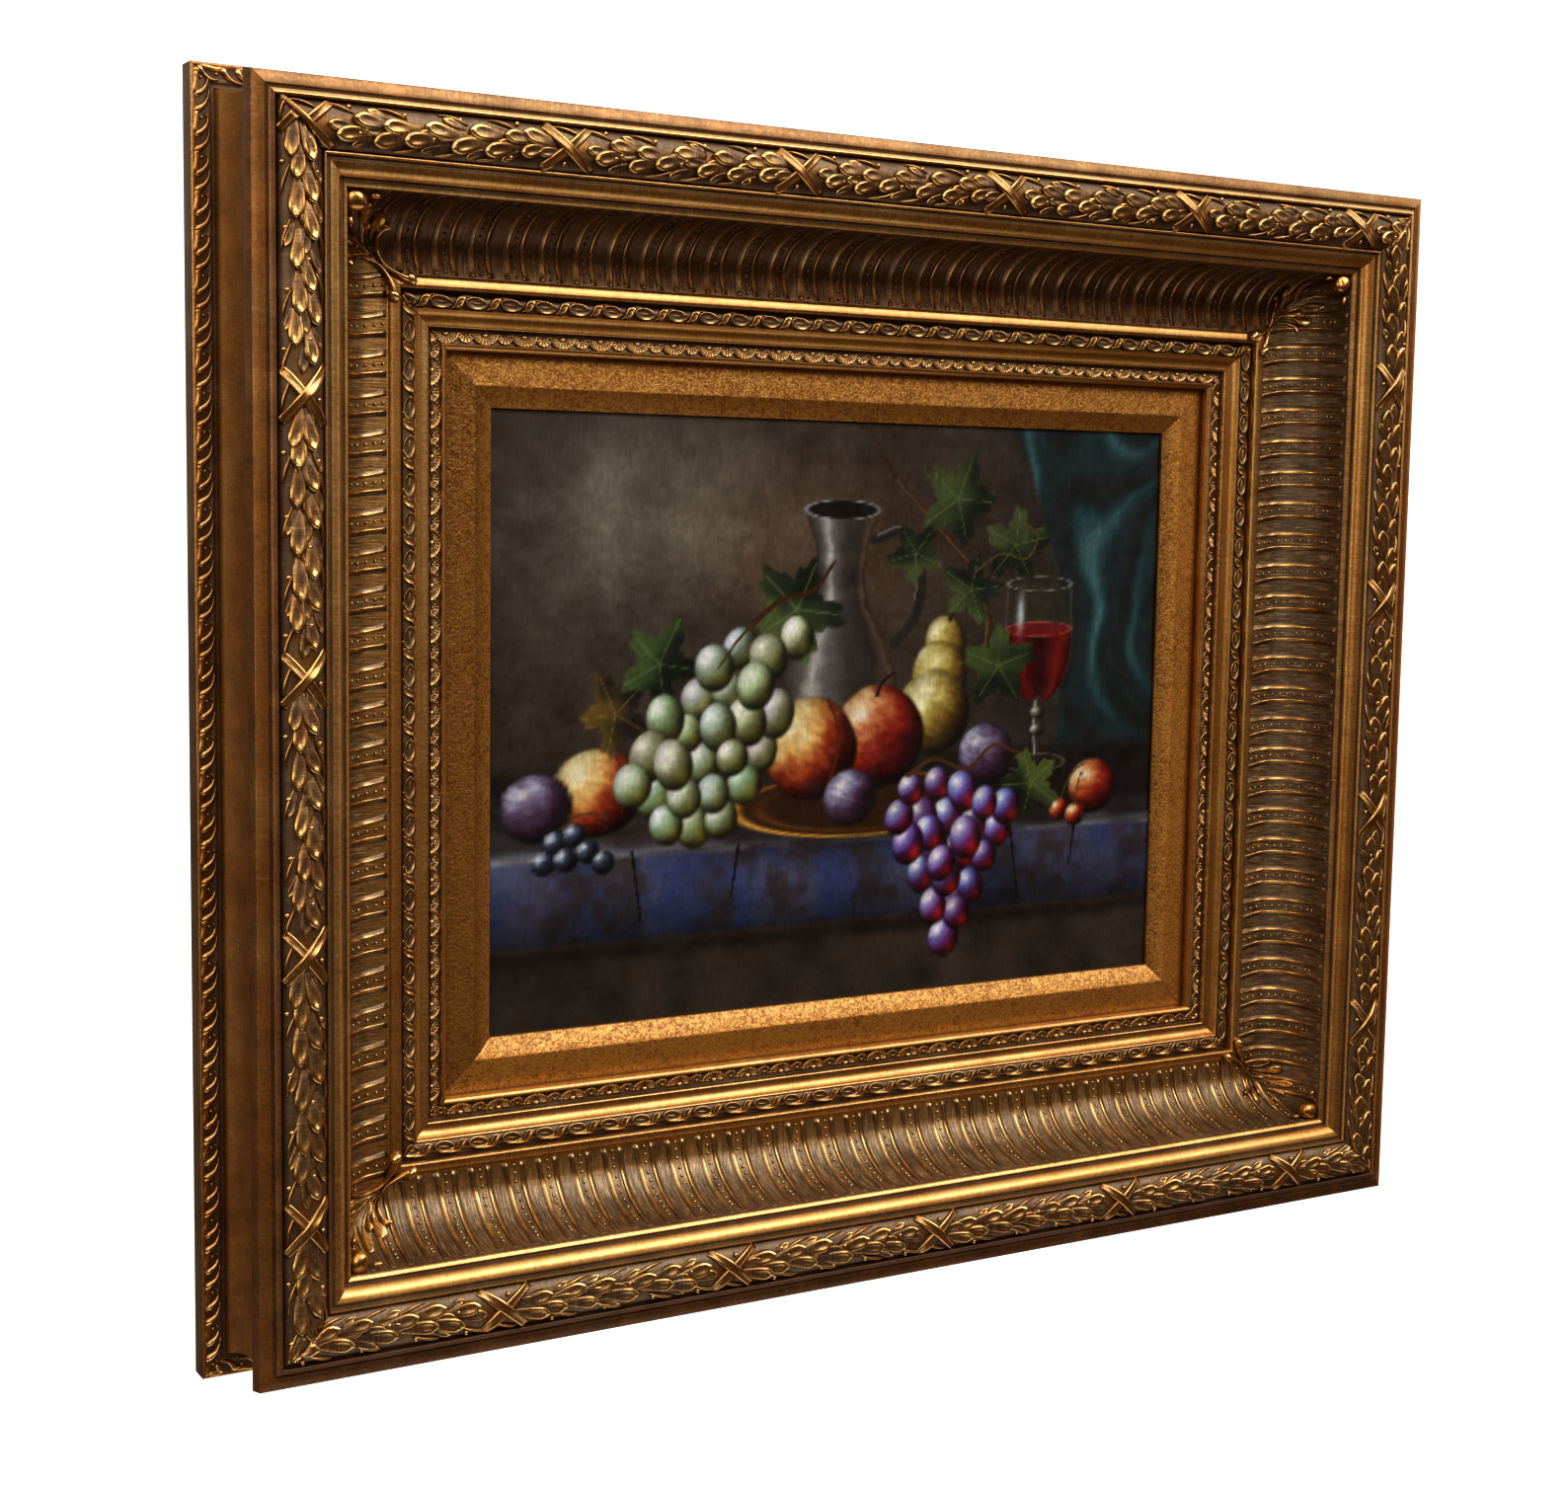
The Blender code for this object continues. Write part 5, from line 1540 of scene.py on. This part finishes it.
def paintMaterial():
    # oil paint over a woven ground, under a thin varnish
    made, tree, shader = newMaterial("oilPaint", {"Specular IOR Level": 0.45,
                                                  "Coat Weight": 0.12, "Coat Roughness": 0.3})
    place = placeIn(tree)
    bristle = noised(place, 480.0, 3.0, 0.6, (1.0, 1.0, 0.35))
    cloud = noised(place, 90.0, 3.0, 0.6)
    shade = ranged(bristle, 0.3, 0.7, 0.9, 1.1)
    joined((scaled(stored(tree, "paint", "Color"), shade), shader.inputs["Base Color"]),
           (ranged(cloud, 0.35, 0.65, 0.34, 0.5), shader.inputs["Roughness"]))
    weft, warp = (fedNode("ShaderNodeTexWave", ("Vector", "Scale", "Distortion", "Detail"),
                          (place, 230.0, 0.6, 1.0), bands_direction=way).outputs["Fac"]
                  for way in ("X", "Z"))
    bumped(shader, plus(times(times(weft, warp), 0.35), bristle), 0.3, 0.00025)
    return made


def boardMaterial():
    # the back and edges of the painted panel: brown fibreboard
    made, tree, shader = newMaterial("fibreBoard", {"Roughness": 0.8})
    place = placeIn(tree)
    mesh = noised(place, 1100.0, 3.0, 0.7)
    patch = noised(place, 60.0, 3.0, 0.6)
    colour = mixed(ranged(patch, 0.3, 0.7), *surfaces["board"])
    colour = mixed(ranged(mesh, 0.5, 0.75, 0, 0.6), colour, surfaces["boardSpeck"])
    joined((colour, shader.inputs["Base Color"]))
    bumped(shader, mesh, 0.4, 0.0003)
    return made


# the room: soft light from above and in front, and a pale floor

studio = {
    "floorDrop": 1.6, "floorRadius": 1.6, "floorColour": (0.80, 0.80, 0.79),
    "seen": (1.0, 1.0, 1.0),
    # the room's own light by height: (sine of the height angle, colour)
    "sky": [(-0.5, (0.065, 0.036, 0.020)), (-0.1, (0.095, 0.058, 0.034)),
            (0.1, (0.135, 0.10, 0.07)), (0.45, (0.22, 0.20, 0.18)), (0.8, (0.98, 0.98, 0.98))],
    # soft windows: turn to the right of straight ahead, height angle, the angles where
    # they start to fade and end, and their light
    "windows": [(30, 36, 8, 23, (3.9, 3.9, 4.0)), (-34, 22, 6, 24, (2.2, 2.1, 2.0)),
                (-93, 9, 6, 20, (4.2, 3.9, 3.5)), (93, 8, 6, 20, (1.6, 1.4, 1.15)),
                (88, -5, 5, 18, (0.5, 0.33, 0.2)), (180, 35, 20, 45, (0.5, 0.5, 0.5))],
    "look": "High Contrast",
}


def buildFloor():
    low = (centreZ - height / 2) * mm - studio["floorDrop"]
    rim = [(studio["floorRadius"] * cos(turn), studio["floorRadius"] * sin(turn), low)
           for turn in np.linspace(0, 2 * pi, 97)[:-1]]
    data = bpy.data.meshes.new("floor")
    data.from_pydata(rim, [], [list(range(len(rim)))])
    made, tree, shader = newMaterial("paleFloor", {"Roughness": 0.85})
    faint = noised(placeIn(tree), 3.0, 3.0, 0.5)
    tint = mixed(faint, (0.78, 0.78, 0.77), studio["floorColour"])
    joined((tint, shader.inputs["Base Color"]))
    data.materials.append(made)
    floor = shownObject("floor", data)


def buildLight():
    world = bpy.data.worlds.new("softRoom")
    bpy.context.scene.world = world
    world.use_nodes = True
    tree = world.node_tree
    facing = placeIn(tree, "Generated")
    level = fedNode("ShaderNodeMapRange", ("Value", "From Min", "From Max"),
                    (parted(facing)["Z"], -1.0, 1.0)).outputs["Result"]
    shades = fedNode("ShaderNodeValToRGB", (0,), (level,))
    stops = shades.color_ramp.elements
    for number, (sine, colour) in enumerate(studio["sky"]):
        stop = stops[number] if number < 2 else stops.new((sine + 1) / 2)
        stop.position = (sine + 1) / 2
        stop.color = (*colour, 1)
    light = shades.outputs["Color"]
    for turn, lift, full, end, colour in studio["windows"]:
        turn, lift = radians(turn), radians(lift)
        aim = (sin(turn) * cos(lift), -cos(turn) * cos(lift), sin(lift))
        near = fedNode("ShaderNodeVectorMath", (0, 1), (facing, aim), operation="DOT_PRODUCT")
        share = ranged(near.outputs["Value"], cos(radians(end)), cos(radians(full)))
        light = mixed(share, light, colour)
    seen = newNode(tree, "ShaderNodeLightPath").outputs["Is Camera Ray"]
    joined((mixed(seen, light, studio["seen"]), tree.nodes["Background"].inputs["Color"]))


# seen from the front and a little to the left, looking slightly down
lookout = {"place": (-0.6242, -0.9909, -0.13185), "toward": (0.5083, 0.8551, -0.1019),
           "up": (0.0383, 0.0958, 0.9947), "lens": 53.06, "sensor": 36, "nearest": 0.02}


def buildCamera():
    data = bpy.data.cameras.new("camera")
    data.lens = lookout["lens"]
    data.sensor_width = lookout["sensor"]
    data.clip_start = lookout["nearest"]
    holder = shownObject("camera", data)
    toward = Vector(lookout["toward"]).normalized()
    right = toward.cross(Vector(lookout["up"])).normalized()
    turn = Matrix((right, right.cross(toward), -toward)).transposed()
    holder.matrix_world = Matrix.Translation(lookout["place"]) @ turn.to_4x4()
    bpy.context.scene.camera = holder


groups = (brushMarksGroup(), agedGiltGroup())
mouldingGilt = giltMaterial("mouldingGilt", groups, 0.4, 0.00035, 0.09)
carvedGilt = giltMaterial("carvedGilt", groups, 0.35, 0.00025, 0.0)
leafGilt = giltMaterial("leafGilt", groups, 0.35, 0.00025, 0.0)
timber = woodMaterial()
sanded = sandMaterial()
carvings = {"garland_": carveGarland, "cove_ribs_": carveCoveRibs,
            "rope_and_shells_": carveBands, "scrolls_": carveScrolls}
for number, side in enumerate(rails):
    chance = np.random.default_rng(40 + number)
    buildMoulding(side, [mouldingGilt, timber])
    for name, carve in carvings.items():
        piece = newPiece()
        carve(piece, side, chance)
        finishPiece(name + side, piece, [carvedGilt], ["frame_rail_" + side])
    buildLiner(side, [sanded, timber])
print("rails built")
for corner in cornerPairs:
    buildCornerLeaf(corner, [leafGilt])
print("corner leaves built")
buildPicture([paintMaterial(), boardMaterial()])
print("picture built")
buildFloor()
buildLight()
buildCamera()
bpy.context.scene.view_settings.view_transform = "Standard"
bpy.context.scene.view_settings.look = studio["look"]
